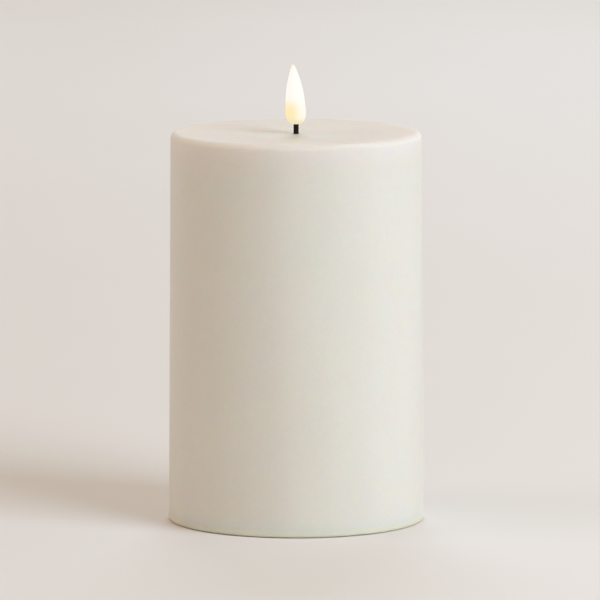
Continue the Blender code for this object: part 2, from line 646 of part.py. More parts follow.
def control_board():
    """The board on its posts, its two screws and the parts soldered to it."""
    slab = around_box_axis(BOARD_HALF.x, BOARD_HALF.y, BOARD_BOTTOM, BOARD_TOP)
    board = add("circuit_board", slab, "board_green")
    for number, sign in enumerate((1, -1), 1):
        place = Vector((sign * BOARD_SCREW_PLACE.x, BOX_Y + sign * BOARD_SCREW_PLACE.y, 0.0))
        cut(board, post(BOARD_SCREW_HOLE, BOARD_BOTTOM - PAST, BOARD_TOP + PAST, SMALL_STEPS), place)
        screw(f"board_screw_{number}", place + Vector((0, 0, BOARD_FACE)), BOARD_SCREW)

    moulding = centred_block(CHIP_HALF, *CHIP_Z, bevel=0.0002)
    chip = add("controller_chip", moulding, "component_black", CHIP_PLACE)
    for leg_x in CHIP_LEGS_X:
        fuse(chip, centred_block(CHIP_LEG_HALF, 0.0, CHIP_LEG_HEIGHT), CHIP_PLACE + Vector((leg_x, 0, 0)))

    drum = [(0.0, 0.0), (0.0030, 0.0), (0.0030, 0.0008), (0.0024, 0.0010), (0.0024, 0.0030), (0.0030, 0.0032)]
    drum += [(0.0030, 0.0040), (0.0, 0.0040)]
    add("boost_inductor", turned(drum, MEDIUM_STEPS), "component_black", INDUCTOR_PLACE)
    can = [(0.0, 0.0), (0.0025, 0.0), (0.0025, 0.0008), (0.0023, 0.0011), (0.0025, 0.0014), (0.0025, 0.0067)]
    can += [(0.0022, 0.0070), (0.0, 0.0070)]
    add("smoothing_capacitor", turned(can, MEDIUM_STEPS), "component_can", CAPACITOR_PLACE)
    crystal = centred_block(CRYSTAL_HALF, 0.0, CRYSTAL_HEIGHT, bevel=0.0003)
    add("timing_crystal", crystal, "component_can", CRYSTAL_PLACE)
    for number in (1, 2, 3):
        place = (RESISTOR_X, BOX_Y + (number - 2) * RESISTOR_PITCH, BOARD_FACE)
        body = centred_block(RESISTOR_HALF, 0.0, RESISTOR_HEIGHT)
        add(f"resistor_{number}", body, "component_black", place)


def wiring(tab_top, pin_top):
    """The leads from the contacts, the switch and the wick to the board, each on its own smooth route."""
    pad = BOARD_FACE
    for pole, sign, finish in (("positive", -1, "wire_red"), ("negative", 1, "wire_black")):
        row_y = BOX_Y + sign * CELL_PITCH / 2
        start = Vector((-CONTACT_X + CONTACT_THICKNESS / 2, row_y, tab_top + GAP))
        end = Vector((-0.0190, BOX_Y + sign * 0.0060, pad))
        route = [start, start + Vector((0.0002, 0, 0.0030))]
        route += [(-0.0250, row_y - sign * 0.0006, start.z + 0.0052)]
        route += [end + Vector((-0.0020, sign * 0.0004, 0.0046)), end + Vector((0, 0, 0.0022)), end]
        tube(f"battery_wire_{pole}", smooth_line(route, 4), WIRE_RADIUS, finish)

    for number, sign in enumerate((-1, 0, 1), 1):
        start = Vector((sign * 0.0030, SWITCH_Y, pin_top + GAP))
        end = Vector((sign * 0.0040 - 0.0005, BOX_Y - 0.0110, pad))
        route = [start, start + Vector((0, 0, 0.0030)), (sign * 0.0040, SWITCH_Y + 0.0010, pad - 0.0010)]
        route += [(sign * 0.0044, SWITCH_Y + 0.0060, pad + 0.0050), end + Vector((0, -0.0015, 0.0040)), end]
        tube(f"switch_wire_{number}", smooth_line(route, 4), WIRE_RADIUS, "wire_white")

    lead_top = FLAME_BASE + 0.0022
    for name, sign, finish in (("led_lead_positive", -1, "wire_red"), ("led_lead_negative", 1, "wire_black")):
        inside = sign * 0.00035
        end = Vector((sign * 0.0030, BOX_Y + 0.0095, pad))
        route = [end, end + Vector((0, 0, 0.0040)), (sign * 0.0034, BOX_Y + 0.0080, 0.0450)]
        route += [(sign * 0.0030, 0.0050, 0.0700), (sign * 0.0022, 0.0026, 0.1000)]
        route += [(sign * 0.0008, 0.0004, 0.1300), (inside, 0.0, LINER_TOP - 0.0040)]
        route += [(inside, 0.0, LINER_TOP + 0.0060), (inside, 0.0, lead_top)]
        tube(name, smooth_line(route, 3), LED_LEAD_RADIUS, finish)


def flame_radius(share):
    """The flame's radius at a share of its height, smooth through FLAME_OUTLINE."""
    line = smooth_line([(s, r, 0.0) for s, r in FLAME_OUTLINE], 8)
    for low, high in zip(line, line[1:]):
        if share <= high.x:
            return low.y + (high.y - low.y) * (share - low.x) / (high.x - low.x)
    return line[-1].y


def flame_bulb():
    """The moulded flame: round in section, leaning a little to -X towards its tip, hollow for the LED."""
    rings, around = 20, MEDIUM_STEPS
    last = FLAME_OUTLINE[-1][0]
    shape = bmesh.new()
    loops = []
    for i in range(rings + 1):
        share = last * i / rings
        centre = Vector((-FLAME_LEAN * share**1.3, 0.0, FLAME_BASE + FLAME_HEIGHT * share))
        radius = flame_radius(share)
        loops.append([shape.verts.new(centre + on_ring(radius, 360 * k / around)) for k in range(around)])
    for low, high in zip(loops, loops[1:]):
        for k in range(around):
            after = (k + 1) % around
            shape.faces.new((low[k], low[after], high[after], high[k]))
    foot = shape.verts.new((0.0, 0.0, FLAME_BASE - 0.0001))
    tip = shape.verts.new((-FLAME_LEAN, 0.0, FLAME_BASE + FLAME_HEIGHT))
    for k in range(around):
        after = (k + 1) % around
        shape.faces.new((foot, loops[0][after], loops[0][k]))
        shape.faces.new((tip, loops[-1][k], loops[-1][after]))
    bmesh.ops.recalc_face_normals(shape, faces=shape.faces)
    flame = add("flame_bulb", shape, "flame_diffuser")
    socket = FLAME_BASE + 0.0025
    bore = [
        (0.0, FLAME_BASE - 0.001),
        (WICK_RADIUS + GAP, FLAME_BASE - 0.001),
        (WICK_RADIUS + GAP, socket),
        (0.0015, socket + 0.0002),
        (0.0015, socket + 0.0120),
        (0.0, socket + 0.0135),
    ]
    cut(flame, turned(bore, SMALL_STEPS))

    sleeve_low = LINER_TOP + 0.0010
    bore = WICK_RADIUS - WICK_WALL
    wall = [(bore, sleeve_low), (WICK_RADIUS, sleeve_low), (WICK_RADIUS, FLAME_BASE + 0.0020)]
    wall += [(bore, FLAME_BASE + 0.0020)]
    add("wick_sleeve", turned(wall, SMALL_STEPS), "wick_black")
    led_low = socket + GAP
    led = [(0.0, led_low), (0.0009, led_low), (0.0009, led_low + 0.0110), (0.0005, led_low + 0.0116)]
    led += [(0.0, led_low + 0.0118)]
    add("led_filament", turned(led, SMALL_STEPS), "led_phosphor")


def main():
    clear_scene()
    wax_shell()
    inner_liner()
    base_plate()
    base_fittings()
    battery_box()
    battery_door()
    pin_top = slide_switch()
    tab_top = contacts_and_cells()
    control_board()
    wiring(tab_top, pin_top)
    flame_bulb()


main()
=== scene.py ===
"""Looks for the flameless LED pillar candle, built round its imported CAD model. Metres, +Z up."""

import math

import bmesh
import bpy
from mathutils import Matrix, Vector, noise


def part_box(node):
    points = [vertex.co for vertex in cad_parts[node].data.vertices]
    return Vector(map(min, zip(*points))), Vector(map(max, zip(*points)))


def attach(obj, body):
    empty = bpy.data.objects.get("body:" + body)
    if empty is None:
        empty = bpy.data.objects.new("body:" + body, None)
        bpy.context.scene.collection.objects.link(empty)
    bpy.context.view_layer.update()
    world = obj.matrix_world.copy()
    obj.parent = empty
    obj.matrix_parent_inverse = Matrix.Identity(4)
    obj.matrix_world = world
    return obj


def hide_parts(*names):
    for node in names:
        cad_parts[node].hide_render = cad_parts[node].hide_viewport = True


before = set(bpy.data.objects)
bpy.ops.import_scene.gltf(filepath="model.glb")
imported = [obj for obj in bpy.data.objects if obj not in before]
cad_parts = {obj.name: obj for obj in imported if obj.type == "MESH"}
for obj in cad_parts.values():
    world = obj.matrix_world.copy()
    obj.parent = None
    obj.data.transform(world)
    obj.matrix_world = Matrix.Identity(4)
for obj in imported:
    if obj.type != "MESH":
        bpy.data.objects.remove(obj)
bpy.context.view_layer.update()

BODY, DOOR, KNOB = "body", "door", "knob"
MM = 0.001

# The camera stands in front of the candle, a little above it, with a long lens
CAMERA_PLACE = Vector((0.0015, -2.65, 0.439))
CAMERA_PITCH_DEG = 7.607
CAMERA_LENS_MM = 415.4
SENSOR_MM = 36.0

# Soft studio light: a large key from the front right, and weaker lights behind and on the left. Each is
# (name, degrees round from the front towards +X, elevation, distance, diameter, red, green and blue watts)
AIM = Vector((0.0, 0.0, 0.08))
LIGHTS = (
    ("key", 50.0, 28.0, 3.0, 2.2, (53.0, 63.2, 76.3)),
    ("back", 180.0, 40.0, 3.0, 1.4, (15.9, 17.6, 22.0)),
    ("left", -80.0, 30.0, 3.0, 1.8, (11.6, 11.0, 13.4)),
)
WORLD_COLOUR = (1.0, 0.823, 0.556)
WORLD_STRENGTH = 0.512
# The paper's rings as (radius, height): it lies flat, and then curves up all round
PAPER_OUTLINE = (
    (0.5, 0.0), (1.5, 0.0), (3.0, 0.0), (5.4, 0.0),
    (6.1, 0.06), (6.7, 0.22), (7.05, 0.48), (7.2, 0.80),
)
PAPER_STEPS = 48
# Past the reach of the lights the paper glows faintly by itself, so that it stays pale from every side
GLOW_START, GLOW_FULL = 2.3, 4.4
GLOW_COLOUR = (0.720, 0.680, 0.635)
# The paper's colour carries painted light, paler and cooler towards the back and the right, changing slowly
# between these places
PAINTED_LIGHT_HALF_WIDTH, PAINTED_LIGHT_FRONT, PAINTED_LIGHT_BACK = 0.20, -0.2, 2.2

wax_low, wax_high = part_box("wax_shell")
WAX_RADIUS = wax_high.x
WAX_TOP = wax_high.z
WAX_BASE = wax_low.z - 0.2 * MM
_, liner_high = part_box("inner_liner")
plate_low, plate_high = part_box("base_plate")
door_low, door_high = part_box("battery_door")
flame_low, flame_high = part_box("flame_bulb")
sleeve_low, sleeve_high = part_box("wick_sleeve")


# --- The camera ---


def make_camera():
    data = bpy.data.cameras.new("camera")
    data.lens = CAMERA_LENS_MM
    data.sensor_width = SENSOR_MM
    data.clip_start, data.clip_end = 0.05, 50.0
    camera = bpy.data.objects.new("camera", data)
    camera.location = CAMERA_PLACE
    camera.rotation_euler = (math.radians(90.0 - CAMERA_PITCH_DEG), 0.0, 0.0)
    bpy.context.scene.collection.objects.link(camera)
    bpy.context.scene.camera = camera


make_camera()


# --- Mesh helpers ---


def link(obj):
    bpy.context.scene.collection.objects.link(obj)
    return obj


def finish_piece(name, shape, material, slot, body=BODY, nodes=(), smooth=35.0):
    """The bmesh as a piece on a body, with its material and the CAD nodes that it stands for; slot is not
    used.
    """
    bmesh.ops.recalc_face_normals(shape, faces=shape.faces)
    mesh = bpy.data.meshes.new(name)
    shape.to_mesh(mesh)
    shape.free()
    mesh.shade_smooth()
    if smooth < 180.0:
        mesh.set_sharp_from_angle(angle=math.radians(smooth))
    mesh.materials.append(material)
    obj = link(bpy.data.objects.new(name, mesh))
    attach(obj, body)
    if nodes:
        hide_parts(*nodes)


def add_turned(shape, outline, steps, matrix=None):
    """Adds the solid that (radius, height) points sweep, from axis to axis or as a closed loop."""
    on_axis = outline[0][0] == 0.0 and outline[-1][0] == 0.0
    rings, made = [], []
    for radius, height in outline:
        if radius == 0.0:
            ring = [shape.verts.new((0.0, 0.0, height))]
        else:
            ring = circle(shape, radius, height, steps)
        rings.append(ring)
        made += ring
    pairs = list(zip(rings, rings[1:])) + ([] if on_axis else [(rings[-1], rings[0])])
    for low, high in pairs:
        for k in range(steps):
            after = (k + 1) % steps
            corners = [low[k % len(low)], low[after % len(low)], high[after % len(high)], high[k % len(high)]]
            unique = [v for i, v in enumerate(corners) if v not in corners[:i]]
            if len(unique) > 2:
                shape.faces.new(unique)
    if matrix is not None:
        bmesh.ops.transform(shape, matrix=matrix, verts=made)


def turned_piece(name, outline, steps, place, *finish, **more):
    """A turned solid as a piece of its own; the rest is what finish_piece takes."""
    shape = bmesh.new()
    add_turned(shape, outline, steps, place)
    finish_piece(name, shape, *finish, **more)


def add_block(shape, low, high, bevel=0.0, segments=2, matrix=None):
    """Adds a box between two corners, with rounded edges."""
    low, high = Vector(low), Vector(high)
    made = bmesh.ops.create_cube(shape, size=1.0)["verts"]
    bmesh.ops.scale(shape, vec=high - low, verts=made)
    bmesh.ops.translate(shape, vec=(high + low) / 2, verts=made)
    if bevel:
        edges = list({e for v in made for e in v.link_edges})
        how = {"segments": segments, "profile": 0.5, "affect": "EDGES", "clamp_overlap": True}
        result = bmesh.ops.bevel(shape, geom=edges, offset=bevel, **how)
        made = list({v for f in result["faces"] for v in f.verts} | {v for v in made if v.is_valid})
    if matrix is not None:
        bmesh.ops.transform(shape, matrix=matrix, verts=made)


def add_tube(shape, line, radii, sides=12):
    """Adds a round tube with closed ends along the line, one radius for all or one for each point."""
    points = [Vector(p) for p in line]
    if not hasattr(radii, "__len__"):
        radii = [radii] * len(points)
    tangent = (points[1] - points[0]).normalized()
    across = tangent.orthogonal().normalized()
    rings = []
    for i, (point, radius) in enumerate(zip(points, radii)):
        ahead = points[min(i + 1, len(points) - 1)] - points[max(i - 1, 0)]
        turn = tangent.rotation_difference(ahead.normalized())
        across = (turn @ across).normalized()
        tangent = ahead.normalized()
        up = tangent.cross(across).normalized()
        turns = [math.tau * k / sides for k in range(sides)]
        offsets = [radius * (math.cos(a) * across + math.sin(a) * up) for a in turns]
        rings.append([shape.verts.new(point + offset) for offset in offsets])
    for low, high in zip(rings, rings[1:]):
        join(shape, low, high)
    shape.faces.new(list(reversed(rings[0])))
    shape.faces.new(rings[-1])


def join(shape, low, high):
    """Joins two rings of the same number of points with a band of faces."""
    for k in range(len(low)):
        after = (k + 1) % len(low)
        shape.faces.new((low[k], low[after], high[after], high[k]))


def circle(shape, radius, height, count):
    """A ring of new points round the upright axis."""
    turns = [math.tau * k / count for k in range(count)]
    return [shape.verts.new((radius * math.cos(a), radius * math.sin(a), height)) for a in turns]


def arc(centre, radius, start, end, steps):
    """Points on an arc about centre, from the start angle to the end angle in degrees."""
    angles = [math.radians(start + (end - start) * i / steps) for i in range(steps + 1)]
    return [(centre[0] + radius * math.cos(a), centre[1] + radius * math.sin(a)) for a in angles]


def smooth_line(points, steps):
    """A Catmull-Rom curve through the points, with steps points between each pair."""
    points = [Vector(p) for p in points]
    padded = [2 * points[0] - points[1], *points, 2 * points[-1] - points[-2]]
    line = []
    for a, b, c, d in zip(padded, padded[1:], padded[2:], padded[3:]):
        for i in range(steps):
            t = i / steps
            bend = (2 * a - 5 * b + 4 * c - d) * t**2
            line.append(0.5 * (2 * b + (c - a) * t + bend + (3 * b - a - 3 * c + d) * t**3))
    return [*line, points[-1]]


def round_point(share, height=0.0):
    """A point on the unit circle at a share of a full turn."""
    return Vector((math.cos(math.tau * share), math.sin(math.tau * share), height))


def middle_of(node):
    low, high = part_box(node)
    return (low + high) / 2


def spread(low, high, count):
    return [low + (high - low) * i / count for i in range(count + 1)]


# --- Materials ---


class Graph:
    """A material's node tree, with short calls for the nodes used here."""

    def __init__(self, name, roughness, metallic=0.0):
        self.material = bpy.data.materials.new(name)
        self.material.use_nodes = True
        self.tree = self.material.node_tree
        self.shader = self.tree.nodes["Principled BSDF"]
        self.shader.inputs["Roughness"].default_value = roughness
        self.shader.inputs["Metallic"].default_value = metallic
        self.place = self.tree.nodes.new("ShaderNodeTexCoord").outputs["Object"]

    def node(self, kind, **values):
        made = self.tree.nodes.new(kind)
        for key, value in values.items():
            setattr(made, key, value)
        return made

    def feed(self, socket, value):
        if hasattr(value, "is_output"):
            self.tree.links.new(value, socket)
        else:
            socket.default_value = value

    def scaled(self, scale):
        """Object coordinates multiplied along each axis."""
        mapping = self.node("ShaderNodeMapping")
        self.feed(mapping.inputs["Vector"], self.place)
        mapping.inputs["Scale"].default_value = scale
        return mapping.outputs["Vector"]

    def noise(self, scale, detail=3.0, rough=0.5, stretch=None):
        made = self.node("ShaderNodeTexNoise")
        self.feed(made.inputs["Vector"], self.scaled(stretch) if stretch else self.place)
        made.inputs["Scale"].default_value = scale
        made.inputs["Detail"].default_value = detail
        made.inputs["Roughness"].default_value = rough
        return made.outputs["Fac"]

    def ramp(self, value, stops):
        """A colour ramp from (place, colour) stops."""
        made = self.node("ShaderNodeValToRGB")
        self.feed(made.inputs["Fac"], value)
        items = made.color_ramp.elements
        while len(items) < len(stops):
            items.new(0.5)
        for item, (place, colour) in zip(items, stops):
            item.position = place
            item.color = (*colour, 1.0) if hasattr(colour, "__len__") else (colour, colour, colour, 1.0)
        return made.outputs["Color"]

    def math(self, operation, a, b=0.0):
        made = self.node("ShaderNodeMath", operation=operation)
        self.feed(made.inputs[0], a)
        self.feed(made.inputs[1], b)
        return made.outputs[0]

    def between(self, value, low, high, to_low=0.0, to_high=1.0):
        """The value's share of the way from low to high, clamped and smoothed."""
        made = self.node("ShaderNodeMapRange", interpolation_type="SMOOTHSTEP")
        self.feed(made.inputs["Value"], value)
        made.inputs["From Min"].default_value, made.inputs["From Max"].default_value = low, high
        made.inputs["To Min"].default_value, made.inputs["To Max"].default_value = to_low, to_high
        return made.outputs["Result"]

    def mix(self, share, a, b, blend="MIX"):
        made = self.node("ShaderNodeMix", data_type="RGBA", blend_type=blend)
        self.feed(made.inputs["Factor"], share)
        for socket, value in ((made.inputs[6], a), (made.inputs[7], b)):
            self.feed(socket, value if hasattr(value, "is_output") else (*value, 1.0))
        return made.outputs[2]

    def axes(self):
        made = self.node("ShaderNodeSeparateXYZ")
        self.feed(made.inputs[0], self.place)
        return made.outputs

    def radius(self, x, y):
        """The distance from the upright axis."""
        squares = [self.math("MULTIPLY", value, value) for value in (x, y)]
        return self.math("SQRT", self.math("ADD", *squares))

    def bump(self, height, distance, strength=1.0, under=None):
        made = self.node("ShaderNodeBump")
        self.feed(made.inputs["Height"], height)
        made.inputs["Distance"].default_value = distance
        made.inputs["Strength"].default_value = strength
        if under is not None:
            self.feed(made.inputs["Normal"], under)
        return made.outputs["Normal"]

    def set(self, socket, value):
        if hasattr(value, "__len__") and len(value) == 3 and self.shader.inputs[socket].type == "RGBA":
            value = (*value, 1.0)
        self.feed(self.shader.inputs[socket], value)


def shade(colour, factor):
    return tuple(min(1.0, c * factor) for c in colour)


def plastic(name, colour, roughness=0.45, grain=2600.0):
    """Moulded plastic: a fine eroded grain, with slow changes of tone and gloss."""
    g = Graph(name, roughness)
    tone = g.noise(22.0, 3.0)
    g.set("Base Color", g.ramp(tone, [(0.30, shade(colour, 0.94)), (0.70, shade(colour, 1.03))]))
    g.set("Roughness", g.ramp(g.noise(90.0, 2.0), [(0.30, roughness - 0.05), (0.70, roughness + 0.07)]))
    g.set("Normal", g.bump(g.noise(grain, 2.0), 0.02 * MM, 0.35))
    return g.material


def metal(name, colour, roughness=0.3, brushed=(1.0, 1.0, 1.0)):
    """Plated metal: faint streaks along its drawn direction, and duller patches from handling."""
    g = Graph(name, roughness, 1.0)
    patch = g.noise(160.0, 4.0, 0.6)
    g.set("Base Color", g.ramp(patch, [(0.30, shade(colour, 0.86)), (0.70, shade(colour, 1.05))]))
    streak = g.noise(900.0, 3.0, 0.6, stretch=brushed)
    g.set("Roughness", g.ramp(streak, [(0.30, max(0.05, roughness - 0.08)), (0.70, roughness + 0.14)]))
    g.set("Normal", g.bump(streak, 0.01 * MM, 0.4))
    return g.material


# How far light travels in the wax, the share of that for each colour, and how strongly the wax reflects
LIGHT_REACH = 12.0 * MM
LIGHT_REACH_SHARES = (1.0, 0.62, 0.36)
WALL_SPECULAR, TOP_SPECULAR = 0.42, 0.16
# The top is painted a little paler (painted light) and its rim darker (painted shade), the foot is painted
# warmer as warm light in the shade line under it, and the shoulder cooler
TOP_PAINTED_LIGHT, RIM_PAINTED_SHADE = 0.045, 0.03
FOOT_PAINTED_WARM_LIGHT = (1.26, 1.10, 0.88)
SHOULDER_TINT = (0.972, 1.0, 1.055)


def wax_material():
    """Poured ivory wax that light sinks into: slow clouding, faint flecks and soft upright streaks."""
    g = Graph("ivory_wax", 0.42)
    cloud = g.noise(16.0, 4.0, 0.55, stretch=(1.0, 1.0, 0.55))
    fleck = g.noise(700.0, 3.0, 0.6)
    base = g.ramp(cloud, [(0.32, (0.706, 0.662, 0.596)), (0.68, (0.734, 0.693, 0.629))])
    pale = g.ramp(fleck, [(0.45, (0.0, 0.0, 0.0)), (0.75, (0.016, 0.016, 0.016))])
    base = g.mix(1.0, base, pale, "ADD")
    streak = g.noise(34.0, 2.0, 0.5, stretch=(1.0, 1.0, 0.03))
    pour = g.ramp(streak, [(0.35, (0.978, 0.974, 0.966)), (0.65, (1.0, 1.0, 1.0))])
    base = g.mix(1.0, base, pour, "MULTIPLY")
    x, y, z = g.axes()
    radius = g.radius(x, y)
    edge = g.between(z, WAX_TOP - 5.0 * MM, WAX_TOP - 2.0 * MM)
    top = g.math("MULTIPLY", edge, g.between(radius, WAX_RADIUS - 2.0 * MM, WAX_RADIUS - 5.0 * MM))
    outer = g.between(radius, WAX_RADIUS - 6.0 * MM, WAX_RADIUS - 3.5 * MM)
    rim = g.math("MULTIPLY", edge, outer)
    # Painted shade: the outer band just under the top edge is darkened a little
    base = g.mix(g.math("MULTIPLY", rim, RIM_PAINTED_SHADE), base, (0.0, 0.0, 0.0))
    foot = g.between(z, WAX_BASE + 3.0 * MM, WAX_BASE + 0.5 * MM)
    # Painted light: the foot is tinted warmer, standing in for the warm light the wax gives in the shade line
    # under it
    base = g.mix(foot, base, FOOT_PAINTED_WARM_LIGHT, "MULTIPLY")
    shoulder = g.math("MULTIPLY", g.between(z, WAX_TOP - 10.0 * MM, WAX_TOP - 4.0 * MM), outer)
    base = g.mix(shoulder, base, SHOULDER_TINT, "MULTIPLY")
    # Painted light: the top is mixed a little towards white
    g.set("Base Color", g.mix(g.math("MULTIPLY", top, TOP_PAINTED_LIGHT), base, (1.6, 1.6, 1.6)))
    g.set("Subsurface Weight", 1.0)
    g.set("Subsurface Radius", LIGHT_REACH_SHARES)
    g.set("Subsurface Scale", LIGHT_REACH)
    g.set("IOR", 1.44)
    specular = g.mix(top, (WALL_SPECULAR,) * 3, (TOP_SPECULAR,) * 3)
    g.feed(g.shader.inputs["Specular IOR Level"], specular)
    wall_gloss = g.ramp(g.noise(55.0, 4.0, 0.6), [(0.30, 0.36), (0.70, 0.52)])
    top_gloss = g.ramp(g.noise(140.0, 4.0, 0.6), [(0.30, 0.37), (0.70, 0.45)])
    g.set("Roughness", g.mix(top, g.mix(edge, wall_gloss, (0.66, 0.66, 0.66)), top_gloss))
    fine = g.bump(g.noise(420.0, 4.0, 0.65), 0.06 * MM, 0.12, g.bump(g.noise(46.0, 3.0), 0.4 * MM, 0.16))
    g.feed(fine.node.inputs["Strength"], g.between(edge, 1.0, 0.0, 0.06, 0.12))
    g.set("Normal", fine)
    return g.material


def flame_material():
    """The frosted flame: it glows nearly white, cream at its tip, and amber low on its left side."""
    g = Graph("flame_diffuser", 0.50)
    x, _, z = g.axes()
    height = flame_high.z - flame_low.z
    left = g.between(x, 2.0 * MM, -1.6 * MM)
    low = g.between(z, flame_low.z + 0.46 * height, flame_low.z + 0.22 * height)
    lower = g.between(z, flame_low.z + 0.50 * height, flame_low.z + 0.15 * height)
    tint = g.mix(lower, (0.93, 0.875, 0.825), (0.90, 0.82, 0.69))
    tint = g.mix(g.math("MULTIPLY", left, low), tint, (0.90, 0.75, 0.40))
    foot = g.between(z, flame_low.z + 0.13 * height, flame_low.z + 0.03 * height)
    tint = g.mix(foot, tint, (0.80, 0.72, 0.45))
    tint = g.mix(g.between(z, flame_low.z + 0.84 * height, flame_high.z), tint, (0.90, 0.83, 0.70))
    g.set("Base Color", g.mix(g.noise(300.0, 2.0), (0.10, 0.096, 0.09), (0.12, 0.115, 0.105)))
    g.set("Specular IOR Level", 0.2)
    g.set("Emission Color", tint)
    g.set("Emission Strength", 1.0)
    g.set("Normal", g.bump(g.noise(1100.0, 3.0), 0.03 * MM, 0.4))
    return g.material


def wick_material():
    """A matt black woven sleeve, a little brown where it catches the flame's light."""
    g = Graph("wick_black", 0.78)
    yarn = g.noise(1500.0, 3.0)
    g.set("Base Color", g.ramp(yarn, [(0.35, (0.004, 0.003, 0.002)), (0.70, (0.016, 0.010, 0.005))]))
    g.set("Specular IOR Level", 0.18)
    g.set("Normal", g.bump(g.noise(2600.0, 3.0, stretch=(1.0, 1.0, 0.3)), 0.06 * MM, 0.7))
    return g.material


def phosphor_material():
    """The light source's cast yellow phosphor, glowing warm white."""
    g = Graph("led_phosphor", 0.45)
    grain = g.noise(2400.0, 3.0)
    g.set("Base Color", g.ramp(grain, [(0.30, (0.72, 0.50, 0.12)), (0.70, (0.86, 0.64, 0.20))]))
    g.set("Emission Color", g.ramp(grain, [(0.30, (1.0, 0.80, 0.46)), (0.70, (1.0, 0.86, 0.58))]))
    g.set("Emission Strength", 1.5)
    g.set("Normal", g.bump(grain, 0.03 * MM, 0.5))
    return g.material


def rubber_material():
    g = Graph("grey_rubber", 0.66)
    colour = (0.50, 0.50, 0.48)
    bloom = g.noise(240.0, 4.0, 0.6)
    g.set("Base Color", g.ramp(bloom, [(0.30, shade(colour, 0.84)), (0.72, shade(colour, 1.08))]))
    g.set("Normal", g.bump(g.noise(1800.0, 3.0), 0.04 * MM, 0.5))
    return g.material


def board_material():
    """Green solder mask with the darker laminate showing between broad copper areas."""
    g = Graph("board_green", 0.34)
    areas = g.noise(190.0, 1.0, 0.3)
    g.set("Base Color", g.ramp(areas, [(0.485, (0.030, 0.150, 0.062)), (0.515, (0.052, 0.232, 0.098))]))
    g.set("Coat Weight", 0.35)
    g.set("Roughness", g.ramp(g.noise(500.0, 2.0), [(0.30, 0.28), (0.70, 0.42)]))
    g.set("Normal", g.bump(areas, 0.03 * MM, 0.5))
    return g.material


def phenolic_material():
    g = Graph("phenolic_brown", 0.55)
    fibre = g.noise(420.0, 4.0, 0.65, stretch=(0.35, 1.0, 1.0))
    g.set("Base Color", g.ramp(fibre, [(0.30, (0.21, 0.105, 0.045)), (0.70, (0.36, 0.20, 0.095))]))
    g.set("Normal", g.bump(fibre, 0.04 * MM, 0.4))
    return g.material


def jacket_material(name, colour):
    """A cell's plain film: smooth, with a faint metallic base and fine scuffs round the can."""
    g = Graph(name, 0.28, 0.35)
    tone = g.noise(70.0, 3.0)
    g.set("Base Color", g.ramp(tone, [(0.30, shade(colour, 0.86)), (0.70, shade(colour, 1.12))]))
    g.set("Coat Weight", 0.5)
    scuff = g.noise(400.0, 4.0, 0.7, stretch=(0.15, 1.0, 1.0))
    g.set("Roughness", g.ramp(scuff, [(0.42, 0.22), (0.72, 0.44)]))
    g.set("Normal", g.bump(scuff, 0.01 * MM, 0.3))
    return g.material


def floor_material():
    """A pale seamless sweep of matt paper, with painted light: paler and cooler towards the back and the
    right.
    """
    g = Graph("paper_sweep", 0.9)
    x, y, _ = g.axes()
    # Painted light: the paper's colour is raised towards the right and the back, where more light would fall
    across = g.between(x, -PAINTED_LIGHT_HALF_WIDTH, PAINTED_LIGHT_HALF_WIDTH)
    front = g.mix(across, (0.780, 0.752, 0.726), (0.850, 0.830, 0.811))
    back = g.mix(across, (0.814, 0.806, 0.794), (0.874, 0.889, 0.897))
    paper = g.mix(g.between(y, PAINTED_LIGHT_FRONT, PAINTED_LIGHT_BACK), front, back)
    mottle = g.ramp(g.noise(3.0, 3.0), [(0.30, (0.985, 0.985, 0.985)), (0.70, (1.0, 1.0, 1.0))])
    radius = g.radius(x, y)
    glow = g.between(radius, GLOW_START, GLOW_FULL)
    g.set("Base Color", g.mix(glow, g.mix(1.0, paper, mottle, "MULTIPLY"), (0.02, 0.02, 0.02)))
    g.set("Emission Color", GLOW_COLOUR)
    g.set("Emission Strength", glow)
    g.set("Specular IOR Level", 0.15)
    g.set("Normal", g.bump(g.noise(900.0, 3.0), 0.05 * MM, 0.2))
    return g.material


WAX = wax_material()
FLAME = flame_material()
WICK = wick_material()
PHOSPHOR = phosphor_material()
WHITE_PLASTIC = plastic("white_plastic", (0.80, 0.785, 0.745))
BLACK_PLASTIC = plastic("black_plastic", (0.022, 0.022, 0.023), 0.40)
COMPONENT = plastic("component_black", (0.028, 0.028, 0.032), 0.50, 3200.0)
RUBBER = rubber_material()
ZINC = metal("zinc_steel", (0.60, 0.61, 0.62), 0.32)
NICKEL = metal("nickel", (0.70, 0.67, 0.61), 0.24, (1.0, 1.0, 0.2))
CAN = metal("component_can", (0.74, 0.74, 0.75), 0.26, (1.0, 1.0, 0.2))
SOLDER = metal("solder", (0.66, 0.66, 0.68), 0.30)
COPPER = metal("winding", (0.72, 0.34, 0.18), 0.30)
BOARD = board_material()
TRACK = plastic("board_track", (0.060, 0.270, 0.110), 0.34, 1400.0)
PHENOLIC = phenolic_material()
JACKET = jacket_material("cell_jacket", (0.115, 0.150, 0.190))
JACKET_BAND = jacket_material("cell_band", (0.58, 0.59, 0.60))
RED_WIRE = plastic("wire_red", (0.52, 0.022, 0.018), 0.42, 1800.0)
BLACK_WIRE = plastic("wire_black", (0.020, 0.020, 0.020), 0.42, 1800.0)
WHITE_WIRE = plastic("wire_white", (0.74, 0.73, 0.70), 0.42, 1800.0)


# --- Wax, flame and wick ---

